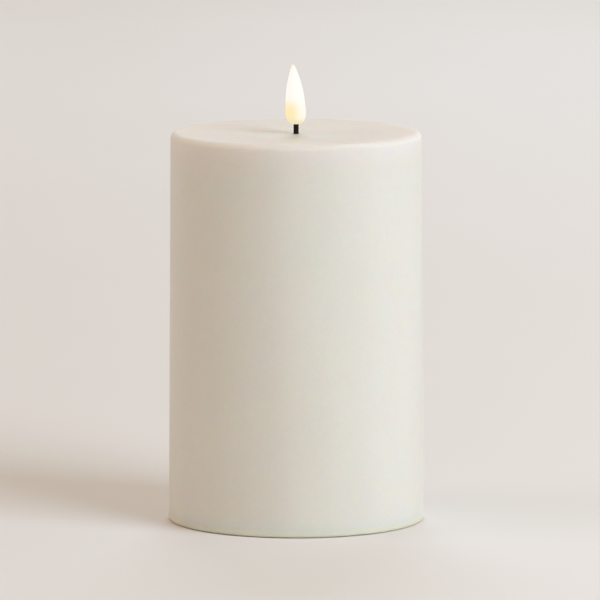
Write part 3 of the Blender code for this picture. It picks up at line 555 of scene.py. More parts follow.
WAX_STEPS = 300
WAX_DRAFT = 1.0 * MM
TOP_EDGE = 2.6 * MM
CRISP_EDGE = 1.3 * MM
CRISP_TURN = (math.radians(-72.0), math.radians(-54.0))
BASE_EDGE = 0.6 * MM
TOP_DISH = 0.8 * MM
INNER = liner_high.x + 0.3 * MM
BORE = sleeve_high.x + 0.05 * MM
TOP_RADIUS = WAX_RADIUS - WAX_DRAFT
CHIMNEY = 3.3 * MM
ROOF_UNDER = WAX_TOP - 10.0 * MM
SLEEVE_REACH = 2.7 * MM
# Tiny pits in the wall where air met the mould: (degrees from +X, height, radius)
PITS = ((219.6, 0.0910, 0.00042), (318.0, 0.0310, 0.00030), (75.0, 0.1120, 0.00050), (168.0, 0.0610, 0.00040))


def wax_outline():
    """The shell's section, outside first from the foot to the wick, then back down the inside."""
    points = [(INNER, WAX_BASE), (WAX_RADIUS - BASE_EDGE - 2.4 * MM, WAX_BASE)]
    points += arc((WAX_RADIUS - BASE_EDGE, WAX_BASE + BASE_EDGE), BASE_EDGE, -90.0, 0.0, 5)
    rim, foot = WAX_TOP - TOP_EDGE, WAX_BASE + BASE_EDGE
    heights = spread(foot + 0.5 * MM, rim - 0.9 * MM, 150)
    points += [(WAX_RADIUS - WAX_DRAFT * (z - foot) / (rim - foot), z) for z in heights]
    edge = TOP_RADIUS - TOP_EDGE
    points += arc((edge, rim), TOP_EDGE, 0.0, 90.0, 12)
    points += [(r, WAX_TOP) for r in spread(edge - 0.6 * MM, 3.0 * MM, 66)]
    points += [(2.4 * MM, WAX_TOP), (1.8 * MM, WAX_TOP), (1.4 * MM, WAX_TOP), (BORE, WAX_TOP)]
    points += [(BORE, WAX_TOP - SLEEVE_REACH), (CHIMNEY, WAX_TOP - SLEEVE_REACH)]
    points += [(CHIMNEY, ROOF_UNDER), (INNER, ROOF_UNDER)]
    points += [(INNER, z) for z in spread(ROOF_UNDER - 8.0 * MM, WAX_BASE + 8.0 * MM, 12)]
    return points


def step(value, low, high):
    """0 below low and 1 above high, with a smooth change between."""
    t = max(0.0, min(1.0, (value - low) / (high - low)))
    return t * t * (3.0 - 2.0 * t)


def edge_share(turn):
    """How round the top edge is, as a share of TOP_EDGE: it wavers, and is crisp on one short stretch."""
    waver = 0.86 + 0.14 * noise.noise(Vector((math.cos(turn) * 2.2, math.sin(turn) * 2.2, 4.4)))
    low, high = CRISP_TURN
    margin = math.radians(7.0)
    crisp = step(turn, low - margin, low + margin) * (1.0 - step(turn, high - margin, high + margin))
    return waver + (CRISP_EDGE / TOP_EDGE - waver) * crisp


def top_relief(x, y, radius):
    """How far the top lies below the shell's highest level: a broad dish, soft ripples and a pool's rim."""
    broad = noise.noise(Vector((x * 38.0, y * 38.0, 2.7)))
    fine = noise.noise(Vector((x * 120.0, y * 120.0, 8.1)))
    dish = TOP_DISH * step(radius, TOP_RADIUS * 0.98, TOP_RADIUS * 0.30)
    pool = 0.10 * MM * math.exp(-(((radius - 0.34 * WAX_RADIUS) / (0.05 * WAX_RADIUS)) ** 2))
    return dish + pool + (0.12 * broad + 0.035 * fine) * MM * step(radius, TOP_RADIUS, TOP_RADIUS * 0.9)


def wall_relief(x, y, z):
    """How far the poured wall lies inside a true cylinder."""
    slow = noise.noise(Vector((x * 26.0, y * 26.0, z * 11.0)))
    soft = noise.noise(Vector((x * 75.0, y * 75.0, z * 42.0 + 5.0)))
    return (0.13 * (1.0 + slow) + 0.03 * (1.0 + soft)) * MM


def pit_depth(place):
    """The depth of the air pits at a place on the wall."""
    depth = 0.0
    for degrees, height, size in PITS:
        turn = math.radians(degrees)
        centre = Vector((math.cos(turn) * WAX_RADIUS, math.sin(turn) * WAX_RADIUS, height))
        depth += 0.45 * MM * math.exp(-(((place - centre).length / size) ** 2))
    return depth


def make_wax():
    shape = bmesh.new()
    add_turned(shape, wax_outline(), WAX_STEPS)
    flat = WAX_TOP - 0.01 * MM
    for vert in shape.verts:
        x, y, z = place = vert.co.copy()
        radius = math.hypot(x, y)
        out = Vector((x, y, 0.0)) / radius
        if z > WAX_TOP - TOP_EDGE and radius > TOP_RADIUS - TOP_EDGE:
            share = edge_share(math.atan2(y, x))
            corner = out * TOP_RADIUS + Vector((0.0, 0.0, WAX_TOP))
            vert.co = corner + (place - corner) * share
        outside = radius > INNER + 0.5 * MM and z < flat or radius > TOP_RADIUS - TOP_EDGE
        if outside:
            inset = wall_relief(x, y, z) * step(radius, TOP_RADIUS - 4.0 * MM, TOP_RADIUS - 0.5 * MM)
            inset *= step(z, WAX_BASE, WAX_BASE + 3.0 * MM)
            vert.co -= out * (inset + pit_depth(place))
        if z > flat:
            vert.co.z -= top_relief(x, y, radius)
    finish_piece("wax_body", shape, WAX, "ivory_wax", nodes=["wax_shell"], smooth=50.0)


# The flame's radius in millimetres at shares of its height
FLAME_OUTLINE = (
    (0.00, 1.40), (0.012, 1.95), (0.03, 2.52), (0.055, 3.05), (0.09, 3.50), (0.14, 3.78),
    (0.20, 3.88), (0.26, 3.86), (0.33, 3.77), (0.43, 3.58), (0.53, 3.33), (0.63, 2.96),
    (0.73, 2.43), (0.83, 1.77), (0.90, 1.24), (0.95, 0.83), (0.98, 0.50), (0.994, 0.25),
)
FLAME_LEAN = 1.15 * MM
# The lean grows with this power of the height, and the hollow inside ends at this share of it
FLAME_SWEEP, FLAME_HOLLOW = 1.3, 0.68


def make_flame():
    """The flame as a hollow moulding: a leaning teardrop, round in section, bored to take the wick."""
    line = smooth_line([(s, r, 0.0) for s, r in FLAME_OUTLINE], 6)
    base, height = flame_low.z, flame_high.z - flame_low.z
    around = 64
    shape = bmesh.new()

    def ring(share, radius):
        centre = Vector((-FLAME_LEAN * share**FLAME_SWEEP, 0.0, base + height * share))
        turns = [math.tau * k / around for k in range(around)]
        return [shape.verts.new(centre + radius * Vector((math.cos(a), math.sin(a), 0))) for a in turns]

    shares = [point.x for point in line]
    outside = [ring(s, point.y * MM) for s, point in zip(shares, line)]
    tip = shape.verts.new((-FLAME_LEAN, 0.0, flame_high.z))
    bore_shares = [0.0, 0.05, 0.10, 0.107, 0.13, 0.25, 0.45, 0.60, 0.66]
    bore_radii = [1.08, 1.08, 1.08, 1.35, 1.60, 1.90, 1.70, 1.20, 0.60]
    inside = [ring(s, r * MM) for s, r in zip(bore_shares, bore_radii)]
    crown = shape.verts.new((-FLAME_LEAN * FLAME_HOLLOW**FLAME_SWEEP, 0.0, base + height * FLAME_HOLLOW))
    for low, high in zip(outside, outside[1:]):
        join(shape, low, high)
    for low, high in zip(inside, inside[1:]):
        join(shape, high, low)
    join(shape, inside[0], outside[0])
    for k in range(around):
        after = (k + 1) % around
        shape.faces.new((outside[-1][k], outside[-1][after], tip))
        shape.faces.new((inside[-1][after], inside[-1][k], crown))
    finish_piece("flame_lens", shape, FLAME, "flame_diffuser", nodes=["flame_bulb"], smooth=60.0)


def make_wick():
    """The sleeve: a tube whose wall is ribbed by the twist of its yarn."""
    low, high = sleeve_low.z, sleeve_high.z
    outer, inner = sleeve_high.x, sleeve_high.x - 0.15 * MM
    around, rows = 48, 90
    shape = bmesh.new()
    rings = []
    for i in range(rows + 1):
        z = low + (high - low) * i / rows
        ring = []
        for k in range(around):
            angle = math.tau * k / around
            twist = 0.5 + 0.5 * math.cos(5.0 * (angle - (z - low) * 900.0))
            radius = outer + 0.02 * MM - 0.05 * MM * twist
            ring.append(shape.verts.new((radius * math.cos(angle), radius * math.sin(angle), z)))
        rings.append(ring)
    hole = [circle(shape, inner, z, around) for z in (high, low)]
    loops = [*rings, *hole, rings[0]]
    for lower, upper in zip(loops, loops[1:]):
        join(shape, lower, upper)
    finish_piece("wick_yarn", shape, WICK, "wick_black", nodes=["wick_sleeve"], smooth=60.0)


make_wax()
make_flame()
make_wick()


# --- Fasteners, feet and the base's mouldings ---


def carve(shape, *cutters):
    """The bmesh with each cutter's volume taken out of it."""
    helpers = []
    for index, part in enumerate((shape, *cutters)):
        bmesh.ops.recalc_face_normals(part, faces=part.faces)
        mesh = bpy.data.meshes.new(f"helper_{index}")
        part.to_mesh(mesh)
        part.free()
        helpers.append(link(bpy.data.objects.new(f"helper_{index}", mesh)))
    for helper in helpers[1:]:
        modifier = helpers[0].modifiers.new(helper.name, "BOOLEAN")
        modifier.operation = "DIFFERENCE"
        modifier.object = helper
    result = bmesh.new()
    result.from_object(helpers[0], bpy.context.evaluated_depsgraph_get())
    for helper in helpers:
        bpy.data.objects.remove(helper, do_unlink=True)
    return result


def loft(shape, loops):
    """Adds a closed solid through loops of the same number of points, capped at both ends."""
    rings = [[shape.verts.new(p) for p in loop] for loop in loops]
    for low, high in zip(rings, rings[1:]):
        join(shape, low, high)
    shape.faces.new(list(reversed(rings[0])))
    shape.faces.new(rings[-1])


def cross_loop(arm, half_width, height):
    """The outline of a plus shape, at a height."""
    a, b = arm, half_width
    left = [(b, a), (-b, a), (-b, b), (-a, b), (-a, -b), (-b, -b)]
    right = [(-b, -a), (b, -a), (b, -b), (a, -b), (a, b), (b, b)]
    return [(x, y, height) for x, y in left + right]


# A screw head's height, as a share of its radius
HEAD_SHARE = 0.62


def screw_shape(head_radius, shank, length):
    """A pan-head screw standing on z = 0, with a rolled thread and a tapered cross recess."""
    head = head_radius * HEAD_SHARE
    pitch, depth = shank * 0.62, shank * 0.24
    around, per_turn = 24, 8
    rows = int((length - shank) / pitch * per_turn)
    shape = bmesh.new()
    rings = []
    for i in range(rows + 1):
        z = -(length - shank) + (length - shank) * i / rows
        ring = []
        for k in range(around):
            phase = (z / pitch - k / around) % 1.0
            ridge = max(0.0, 1.0 - abs(phase - 0.5) / 0.28)
            fade = step(z, -0.2 * pitch, -1.4 * pitch)
            radius = shank - depth * (1.0 - ridge * fade)
            ring.append(shape.verts.new(radius * round_point(k / around, z / radius)))
        rings.append(ring)
    for radius, z in ((head_radius * 0.94, 0.0), (head_radius, head * 0.10), (head_radius, head * 0.34)):
        rings.append(circle(shape, radius, z, around))
    for share in (0.25, 0.5, 0.72, 0.88, 0.97):
        turn = share * math.pi / 2
        radius, z = head_radius * math.cos(turn), head * (0.34 + 0.66 * math.sin(turn))
        rings.append(circle(shape, radius, z, around))
    for low, high in zip(rings, rings[1:]):
        join(shape, low, high)
    tip = shape.verts.new((0.0, 0.0, -length))
    crown = shape.verts.new((0.0, 0.0, head))
    for k in range(around):
        after = (k + 1) % around
        shape.faces.new((rings[0][after], rings[0][k], tip))
        shape.faces.new((rings[-1][k], rings[-1][after], crown))
    cutter = bmesh.new()
    deep = cross_loop(head_radius * 0.26, head_radius * 0.08, head * 0.30)
    loft(cutter, [deep, cross_loop(head_radius * 0.62, head_radius * 0.14, head * 1.30)])
    return carve(shape, cutter)


# The screws of each kind: how many, the shank's radius in millimetres, and whether they are driven from below
SCREWS = (
    ("base_screw", 4, 1.3, True),
    ("box_screw", 2, 1.0, False),
    ("board_screw", 2, 0.8, False),
    ("switch_screw", 2, 0.7, False),
)


def make_screws():
    for kind, count, shank, from_below in SCREWS:
        for number in range(1, count + 1):
            low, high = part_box(f"{kind}_{number}")
            head_radius = (high.x - low.x) / 2
            head = head_radius * HEAD_SHARE
            shape = screw_shape(head_radius, shank * MM, high.z - low.z - head)
            spot = (low + high) / 2
            spot.z = low.z + head if from_below else high.z - head
            place = Matrix.Translation(spot) @ Matrix.Rotation(math.radians(37.0 * number), 4, "Z")
            if from_below:
                place = place @ Matrix.Rotation(math.pi, 4, "X")
            bmesh.ops.transform(shape, matrix=place, verts=shape.verts)
            finish_piece(f"{kind}_threaded_{number}", shape, ZINC, "zinc_steel", nodes=[f"{kind}_{number}"])


def make_feet():
    """Rubber pads with a rolled edge and two moulded rings round a shallow cup."""
    for number in range(1, 5):
        low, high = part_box(f"foot_{number}")
        radius, top = (high.x - low.x) / 2, high.z
        outline = [(0.0, 0.35 * MM), (radius * 0.20, 0.34 * MM), (radius * 0.28, 0.12 * MM)]
        for ring in (0.38, 0.60):
            outline += arc((radius * ring, 0.10 * MM), 0.10 * MM, 180.0, 360.0, 6)
            outline += [(radius * (ring + 0.08), 0.22 * MM), (radius * (ring + 0.12), 0.22 * MM)]
        outline += arc((radius - 0.55 * MM, 0.55 * MM), 0.55 * MM, -90.0, 0.0, 8)
        outline += arc((radius - 0.15 * MM, top - 0.15 * MM), 0.15 * MM, 0.0, 90.0, 4) + [(0.0, top)]
        spot = (low + high) / 2
        place, nodes = Matrix.Translation((spot.x, spot.y, 0.0)), [f"foot_{number}"]
        turned_piece(f"foot_pad_{number}", outline, 48, place, RUBBER, "grey_rubber", nodes=nodes)


def add_ring(shape, spot, radius, half_width, low, high, steps=40):
    """Adds a flat ring with softened edges, round the upright axis at spot."""
    soft = 0.06 * MM
    loop = [
        (radius - half_width, high), (radius - half_width, low + soft), (radius - half_width + soft, low),
        (radius + half_width - soft, low), (radius + half_width, low + soft), (radius + half_width, high),
    ]
    add_turned(shape, loop, steps, Matrix.Translation((spot[0], spot[1], 0.0)))


def add_bar(shape, spot, half_x, half_y, low, high, degrees=0.0):
    turn = Matrix.Translation((spot[0], spot[1], 0.0)) @ Matrix.Rotation(math.radians(degrees), 4, "Z")
    add_block(shape, (-half_x, -half_y, low), (half_x, half_y, high), 0.06 * MM, 2, turn)


def make_base_mouldings():
    """Raised marks on the underside: a border bead, and beside the switch a ring, a bar and a clock face."""
    face = plate_low.z
    low, high = face - 0.22 * MM, face + 0.10 * MM
    knob_spot = (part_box("switch_knob")[0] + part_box("switch_knob")[1]) / 2
    row = knob_spot.y + 6.3 * MM
    shape = bmesh.new()
    add_ring(shape, (0.0, 0.0), plate_high.x - 1.2 * MM, 0.22 * MM, low, high, 120)
    add_ring(shape, (-4.6 * MM, row), 1.05 * MM, 0.16 * MM, low, high)
    add_bar(shape, (0.0, row), 0.17 * MM, 1.15 * MM, low, high)
    add_ring(shape, (4.6 * MM, row), 1.15 * MM, 0.14 * MM, low, high)
    add_bar(shape, (4.6 * MM, row + 0.40 * MM), 0.11 * MM, 0.42 * MM, low, high)
    add_bar(shape, (4.6 * MM + 0.30 * MM, row), 0.34 * MM, 0.11 * MM, low, high)
    finish_piece("base_mouldings", shape, WHITE_PLASTIC, "white_plastic")


def make_door_mouldings():
    """Grip ridges by the latch, an arrow towards it, and the cells' outlines with their polarity marks."""
    low, high = door_low.z - 0.22 * MM, door_low.z + 0.10 * MM
    middle = (door_low + door_high) / 2
    shape = bmesh.new()
    for i in range(6):
        x, reach = door_high.x - (3.6 + 1.3 * i) * MM, (6.5 - 0.35 * i) * MM
        add_bar(shape, (x, middle.y), 0.28 * MM, reach, low, high)
    point = door_high.x - 12.5 * MM
    outline = [(point + 2.2 * MM, middle.y), (point, middle.y + 1.9 * MM), (point, middle.y - 1.9 * MM)]
    loft(shape, [[(x, y, z) for x, y in outline] for z in (low, high)])
    for sign in (-1, 1):
        row = middle.y + sign * 7.6 * MM
        ends = (door_low.x + 6.0 * MM, door_low.x + 37.0 * MM)
        half = (ends[1] - ends[0]) / 2
        for side in (-1, 1):
            add_bar(shape, (sum(ends) / 2, row + side * 4.6 * MM), half, 0.15 * MM, low, high)
        for end in ends:
            add_bar(shape, (end, row), 0.15 * MM, 4.6 * MM, low, high)
        plus, minus = ends if sign < 0 else reversed(ends)
        inward = 3.0 * MM if sign < 0 else -3.0 * MM
        add_bar(shape, (plus + inward, row), 1.1 * MM, 0.2 * MM, low, high)
        add_bar(shape, (plus + inward, row), 0.2 * MM, 1.1 * MM, low, high)
        add_bar(shape, (minus - inward, row), 1.1 * MM, 0.2 * MM, low, high)
    finish_piece("door_mouldings", shape, WHITE_PLASTIC, "white_plastic", body=DOOR)


def make_knob():
    """The switch's thumb piece: a rounded pad with grip ribs on a stem through the slot."""
    low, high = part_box("switch_knob")
    spot = (low + high) / 2
    pad_top = low.z + 1.6 * MM
    shape = bmesh.new()
    add_block(shape, (low.x, low.y, low.z + 0.35 * MM), (high.x, high.y, pad_top), 0.30 * MM, 4)
    for i in range(5):
        x = spot.x + (i - 2) * 0.85 * MM
        near, far = (x - 0.20 * MM, low.y + 0.35 * MM), (x + 0.20 * MM, high.y - 0.35 * MM)
        add_block(shape, (*near, low.z), (*far, low.z + 0.6 * MM), 0.12 * MM, 3)
    near, far = (spot.x - 2.0 * MM, spot.y - 1.3 * MM), (spot.x + 2.0 * MM, spot.y + 1.3 * MM)
    add_block(shape, (*near, pad_top - 0.3 * MM), (*far, high.z), 0.12 * MM, 2)
    finish_piece("knob_pad", shape, BLACK_PLASTIC, "black_plastic", body=KNOB, nodes=["switch_knob"])


# --- Power: cells, contacts, springs and the switch's terminals ---


def along_x(spot, facing):
    """Turns an upright shape so that its +Z end faces +X or -X, with its foot at spot."""
    return Matrix.Translation(spot) @ Matrix.Rotation(facing * math.pi / 2, 4, "Y")


def make_cell(number, facing):
    """A cell in three pieces: the can with its crimped ends, the plain film, and the film's pale band."""
    low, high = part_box(f"battery_cell_{number}")
    radius, length = (high.z - low.z) / 2, high.x - low.x
    spot = (low + high) / 2
    spot.x = low.x if facing > 0 else high.x
    place = along_x(spot, facing)
    nub, shoulder = 2.75 * MM, length - 1.2 * MM
    can = [(0.0, 0.25 * MM), (3.6 * MM, 0.22 * MM), (4.2 * MM, 0.0), (radius - 0.9 * MM, 0.0)]
    can += arc((radius - 0.45 * MM, 0.35 * MM), 0.35 * MM, -90.0, 0.0, 5)
    can += [(radius - 0.10 * MM, 0.9 * MM), (radius - 0.10 * MM, shoulder - 1.9 * MM)]
    can += [(radius - 0.42 * MM, shoulder - 1.5 * MM), (radius - 0.42 * MM, shoulder - 1.2 * MM)]
    can += [(radius - 0.12 * MM, shoulder - 0.8 * MM)]
    can += arc((radius - 0.55 * MM, shoulder - 0.43 * MM), 0.43 * MM, 0.0, 90.0, 5)
    can += [(radius - 1.3 * MM, shoulder), (radius - 1.5 * MM, shoulder - 0.25 * MM)]
    can += [(nub + 0.6 * MM, shoulder - 0.25 * MM), (nub, shoulder - 0.05 * MM)]
    can += arc((nub - 0.25 * MM, length - 0.25 * MM), 0.25 * MM, 0.0, 90.0, 4) + [(0.0, length)]
    nodes = [f"battery_cell_{number}"]
    turned_piece(f"cell_can_{number}", can, 56, place, CAN, "component_can", nodes=nodes)

    def film(name, start, end, material):
        inner, outer = radius - 0.09 * MM, radius
        loop = [(inner, start), (outer, start + 0.02 * MM), (outer, end - 0.02 * MM), (inner, end)]
        turned_piece(name, loop, 56, place, material, "cell_jacket")

    split = shoulder - 12.0 * MM
    film(f"cell_film_{number}", 0.6 * MM, split, JACKET)
    film(f"cell_band_{number}", split + 0.01 * MM, shoulder - 1.95 * MM, JACKET_BAND)


def add_sheet(shape, low, high, emboss, columns=20, rows=24, corner=1.2 * MM):
    """Adds a pressed sheet across X with rounded corners; emboss(y, z) is how far it bulges along X."""
    grids = []
    for x in (low.x, high.x):
        grid = []
        for j in range(rows + 1):
            z = low.z + (high.z - low.z) * j / rows
            end_gap = min(z - low.z, high.z - z)
            pull = corner - math.sqrt(max(0.0, corner**2 - max(0.0, corner - end_gap) ** 2))
            line = []
            for i in range(columns + 1):
                y = low.y + pull + (high.y - low.y - 2 * pull) * i / columns
                line.append(shape.verts.new((x + emboss(y, z), y, z)))
            grid.append(line)
        grids.append(grid)
    near, far = grids
    for grid, flip in ((near, False), (far, True)):
        for j in range(rows):
            for i in range(columns):
                quad = [grid[j][i], grid[j][i + 1], grid[j + 1][i + 1], grid[j + 1][i]]
                shape.faces.new(quad[::-1] if flip else quad)
    edge_near = near[0] + [row[-1] for row in near[1:-1]] + near[-1][::-1] + [row[0] for row in near[-2:0:-1]]
    edge_far = far[0] + [row[-1] for row in far[1:-1]] + far[-1][::-1] + [row[0] for row in far[-2:0:-1]]
    for k in range(len(edge_near)):
        after = (k + 1) % len(edge_near)
        shape.faces.new((edge_near[k], edge_far[k], edge_far[after], edge_near[after]))


def bulge(y, z, spot, radius, height):
    """The height at (y, z) of a round boss at spot, flat on top with a smooth flank."""
    gap = math.hypot(y - spot.y, z - spot.z)
    return height * (1.0 - step(gap, radius * 0.55, radius))


# The height where a contact's sheet ends and its soldering tab begins
CONTACT_TOP = 19.0 * MM


def make_contacts():
    """Pressed contact plates: bosses for the cells' nubs, a dimple for a coil, and the soldering tabs."""
    cell_axis = (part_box("battery_cell_1")[0].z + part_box("battery_cell_1")[1].z) / 2
    for name in ("positive_contact", "negative_contact"):
        low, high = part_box(name)
        spot = Vector((0.0, (low.y + high.y) / 2, cell_axis))
        top = Vector((high.x, high.y, CONTACT_TOP))
        height = 0.24 * MM if name == "positive_contact" else -0.10 * MM
        shape = bmesh.new()
        add_sheet(shape, low, top, lambda y, z: bulge(y, z, spot, 2.6 * MM, height))
        tab_low = (low.x + 0.05 * MM, spot.y - 1.2 * MM, top.z - 0.5 * MM)
        add_block(shape, tab_low, (high.x - 0.05 * MM, spot.y + 1.2 * MM, high.z), 0.12 * MM, 2)
        finish_piece(name.replace("contact", "plate"), shape, NICKEL, "nickel", nodes=[name])
    low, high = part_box("bridge_contact")
    middle, pitch = (low.y + high.y) / 2, 7.6 * MM
    boss = Vector((0.0, middle + pitch, cell_axis))
    shape = bmesh.new()

    def bridge_form(y, z):
        rib = 0.12 * MM * math.exp(-(((y - middle) / (0.7 * MM)) ** 2))
        return -bulge(y, z, boss, 2.6 * MM, 0.24 * MM) - rib

    add_sheet(shape, low, high, bridge_form, 44, 24)
    finish_piece("bridge_plate", shape, NICKEL, "nickel", nodes=["bridge_contact"])


def make_coil(node, cell, facing):
    """A conical spring: a dead turn on its plate, open turns, and a closed small turn on the cell."""
    low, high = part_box(node)
    wire = 0.35 * MM
    axis = middle_of(cell)
    start, end = (low.x + wire, high.x - wire) if facing > 0 else (high.x - wire, low.x + wire)
    wide, narrow = 4.55 * MM, 2.4 * MM
    turns, per_turn = 4.4, 40
    line = []
    for i in range(int(turns * per_turn) + 1):
        share = i / (turns * per_turn)
        rise = step(share, 0.10, 0.86) * 0.5 + 0.5 * max(0.0, min(1.0, (share - 0.14) / 0.68))
        radius = wide + (narrow - wide) * share
        across, up, _ = radius * round_point(turns * share)
        line.append((start + (end - start) * rise, axis.y + across, axis.z + up))
    shape = bmesh.new()
    add_tube(shape, line, wire, 10)
    finish_piece(node.replace("spring", "coil"), shape, NICKEL, "nickel", nodes=[node])


# --- The control board, its parts and the wiring ---

BOARD_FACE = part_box("circuit_board")[1].z
chip_low, chip_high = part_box("controller_chip")
CHIP = (chip_low + chip_high) / 2
LEG_PITCH = 1.27 * MM
# Where the wires are soldered to the board, in millimetres
WIRE_PADS = ((-19.0, -4.0), (-19.0, 8.0), (-4.5, -9.0), (-0.5, -9.0), (3.5, -9.0), (-3.0, 11.5), (3.0, 11.5))


def board_routes():
    """The board's broad tracks, each from pad to pad, in millimetres."""
    return (
        ((-19.0, -4.0), (-13.0, -4.0), (-11.5, -2.5), (-11.5, 5.2), (-0.8, 5.0)),
        ((-19.0, 8.0), (-14.0, 8.0), (-12.0, 10.0), (-12.0, 13.2), (9.0, 13.2), (13.0, 9.2), (13.0, 7.0)),
        ((-4.5, -9.0), (-4.5, -6.4), (-6.6, -4.4), (-6.6, -2.2)),
        ((-0.5, -9.0), (-0.5, -5.4), (-2.3, -3.6), (-4.1, -3.6), (-4.1, -2.2)),
        ((3.5, -9.0), (3.5, -2.4), (2.3, -1.0)),
        ((-4.1, 4.2), (-2.6, 4.2), (-0.8, 2.0)),
        ((-5.4, 4.2), (-5.4, 6.3)),
        ((-6.7, 4.2), (-6.7, 6.3)),
        ((2.7, -1.0), (5.2, -1.0), (7.6, -3.4)),
        ((2.3, 2.0), (8.4, 2.0), (11.0, 4.6)),
        ((2.3, 5.0), (5.0, 7.4), (5.0, 9.6), (3.0, 11.5)),
        ((-3.0, 11.5), (-8.6, 11.5), (-10.2, 10.0), (-10.2, 8.0), (-8.4, 8.0)),
    )


def make_tracks():
    """Tracks under the mask, as low flat ridges, and tinned pads with solder at every joint."""
    shape = bmesh.new()
    top = BOARD_FACE + 0.07 * MM
    for route in board_routes():
        for (x0, y0), (x1, y1) in zip(route, route[1:]):
            turn = math.degrees(math.atan2(y1 - y0, x1 - x0))
            half = (math.hypot(x1 - x0, y1 - y0) / 2 + 0.22) * MM
            spot = ((x0 + x1) / 2 * MM, (y0 + y1) / 2 * MM)
            add_bar(shape, spot, half, 0.25 * MM, BOARD_FACE - 0.05 * MM, top, turn)
    finish_piece("board_tracks", shape, TRACK, "board_green")
    shape = bmesh.new()
    for number in (1, 2):
        spot = middle_of(f"board_screw_{number}")
        foot, face = -0.02 * MM, 0.06 * MM
        loop = [(1.35 * MM, foot), (2.25 * MM, foot), (2.22 * MM, face), (1.38 * MM, face)]
        add_turned(shape, loop, 40, Matrix.Translation((spot.x, spot.y, BOARD_FACE)))
    ends = {route[0] for route in board_routes()} | {route[-1] for route in board_routes()}
    for x, y in sorted(ends):
        pad = [(0.0, -0.02 * MM), (0.62 * MM, -0.02 * MM), (0.60 * MM, 0.09 * MM), (0.0, 0.11 * MM)]
        add_turned(shape, pad, 20, Matrix.Translation((x * MM, y * MM, BOARD_FACE)))
    for x, y in WIRE_PADS:
        cone = [(0.0, 0.05 * MM), (1.15 * MM, 0.05 * MM), (1.10 * MM, 0.22 * MM), (0.72 * MM, 0.46 * MM)]
        cone += [(0.46 * MM, 0.85 * MM), (0.30 * MM, 1.15 * MM), (0.0, 1.22 * MM)]
        add_turned(shape, cone, 24, Matrix.Translation((x * MM, y * MM, BOARD_FACE)))
    finish_piece("board_solder", shape, SOLDER, "nickel", smooth=50.0)


def make_chip():
    """The controller: a moulded body with its first-leg dimple, and eight bent legs on their pads."""
    body_low = Vector((chip_low.x, CHIP.y - 1.9 * MM, chip_low.z + 0.20 * MM))
    body_high = Vector((chip_high.x, CHIP.y + 1.9 * MM, chip_high.z))
    shape = bmesh.new()
    add_block(shape, body_low, body_high, 0.16 * MM, 2)
    dimple = bmesh.new()
    spot = Matrix.Translation((body_low.x + 0.8 * MM, body_low.y + 0.8 * MM, body_high.z))
    hollow = [(0.0, -0.10 * MM), (0.36 * MM, -0.08 * MM), (0.40 * MM, 0.2 * MM), (0.0, 0.2 * MM)]
    add_turned(dimple, hollow, 24, spot)
    finish_piece("chip_body", carve(shape, dimple), COMPONENT, "component_black", nodes=["controller_chip"])
    shape = bmesh.new()
    for i in range(4):
        x = CHIP.x + (i - 1.5) * LEG_PITCH
        for side in (-1, 1):
            line = [(1.80, 0.90), (2.10, 0.90), (2.28, 0.78), (2.40, 0.20), (2.52, 0.08), (2.98, 0.06)]
            points = [(x, CHIP.y + side * y * MM, chip_low.z + z * MM) for y, z in line]
            add_tube(shape, points, 0.15 * MM, 4)
    finish_piece("chip_legs", shape, SOLDER, "nickel")


def make_inductor():
    """The boost coil: a ferrite drum wound with enamelled copper."""
    low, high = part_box("boost_inductor")
    spot = (low + high) / 2
    radius, height = (high.x - low.x) / 2, high.z - low.z
    core = 1.9 * MM
    outline = [(0.0, 0.0)] + arc((radius - 0.12 * MM, 0.12 * MM), 0.12 * MM, -90.0, 0.0, 3)
    outline += [(radius, 0.75 * MM), (radius - 0.08 * MM, 0.85 * MM)]
    outline += [(core, 0.90 * MM), (core, height - 0.90 * MM)]
    outline += [(radius - 0.08 * MM, height - 0.85 * MM), (radius, height - 0.75 * MM)]
    outline += arc((radius - 0.12 * MM, height - 0.12 * MM), 0.12 * MM, 0.0, 90.0, 3)
    outline += [(0.7 * MM, height), (0.6 * MM, height - 0.15 * MM), (0.0, height - 0.15 * MM)]
    place = Matrix.Translation((spot.x, spot.y, low.z))
    turned_piece("inductor_drum", outline, 48, place, COMPONENT, "component_black", nodes=["boost_inductor"])
    wire, turns, per_turn = 0.17 * MM, 6, 36
    start = low.z + 0.90 * MM + wire
    line = []
    for i in range(turns * per_turn + 1):
        share = i / per_turn
        line.append(Vector((spot.x, spot.y, start + share * wire * 2.02)) + 2.5 * MM * round_point(share))
    shape = bmesh.new()
    add_tube(shape, line, wire, 8)
    finish_piece("inductor_winding", shape, COPPER, "nickel", smooth=60.0)


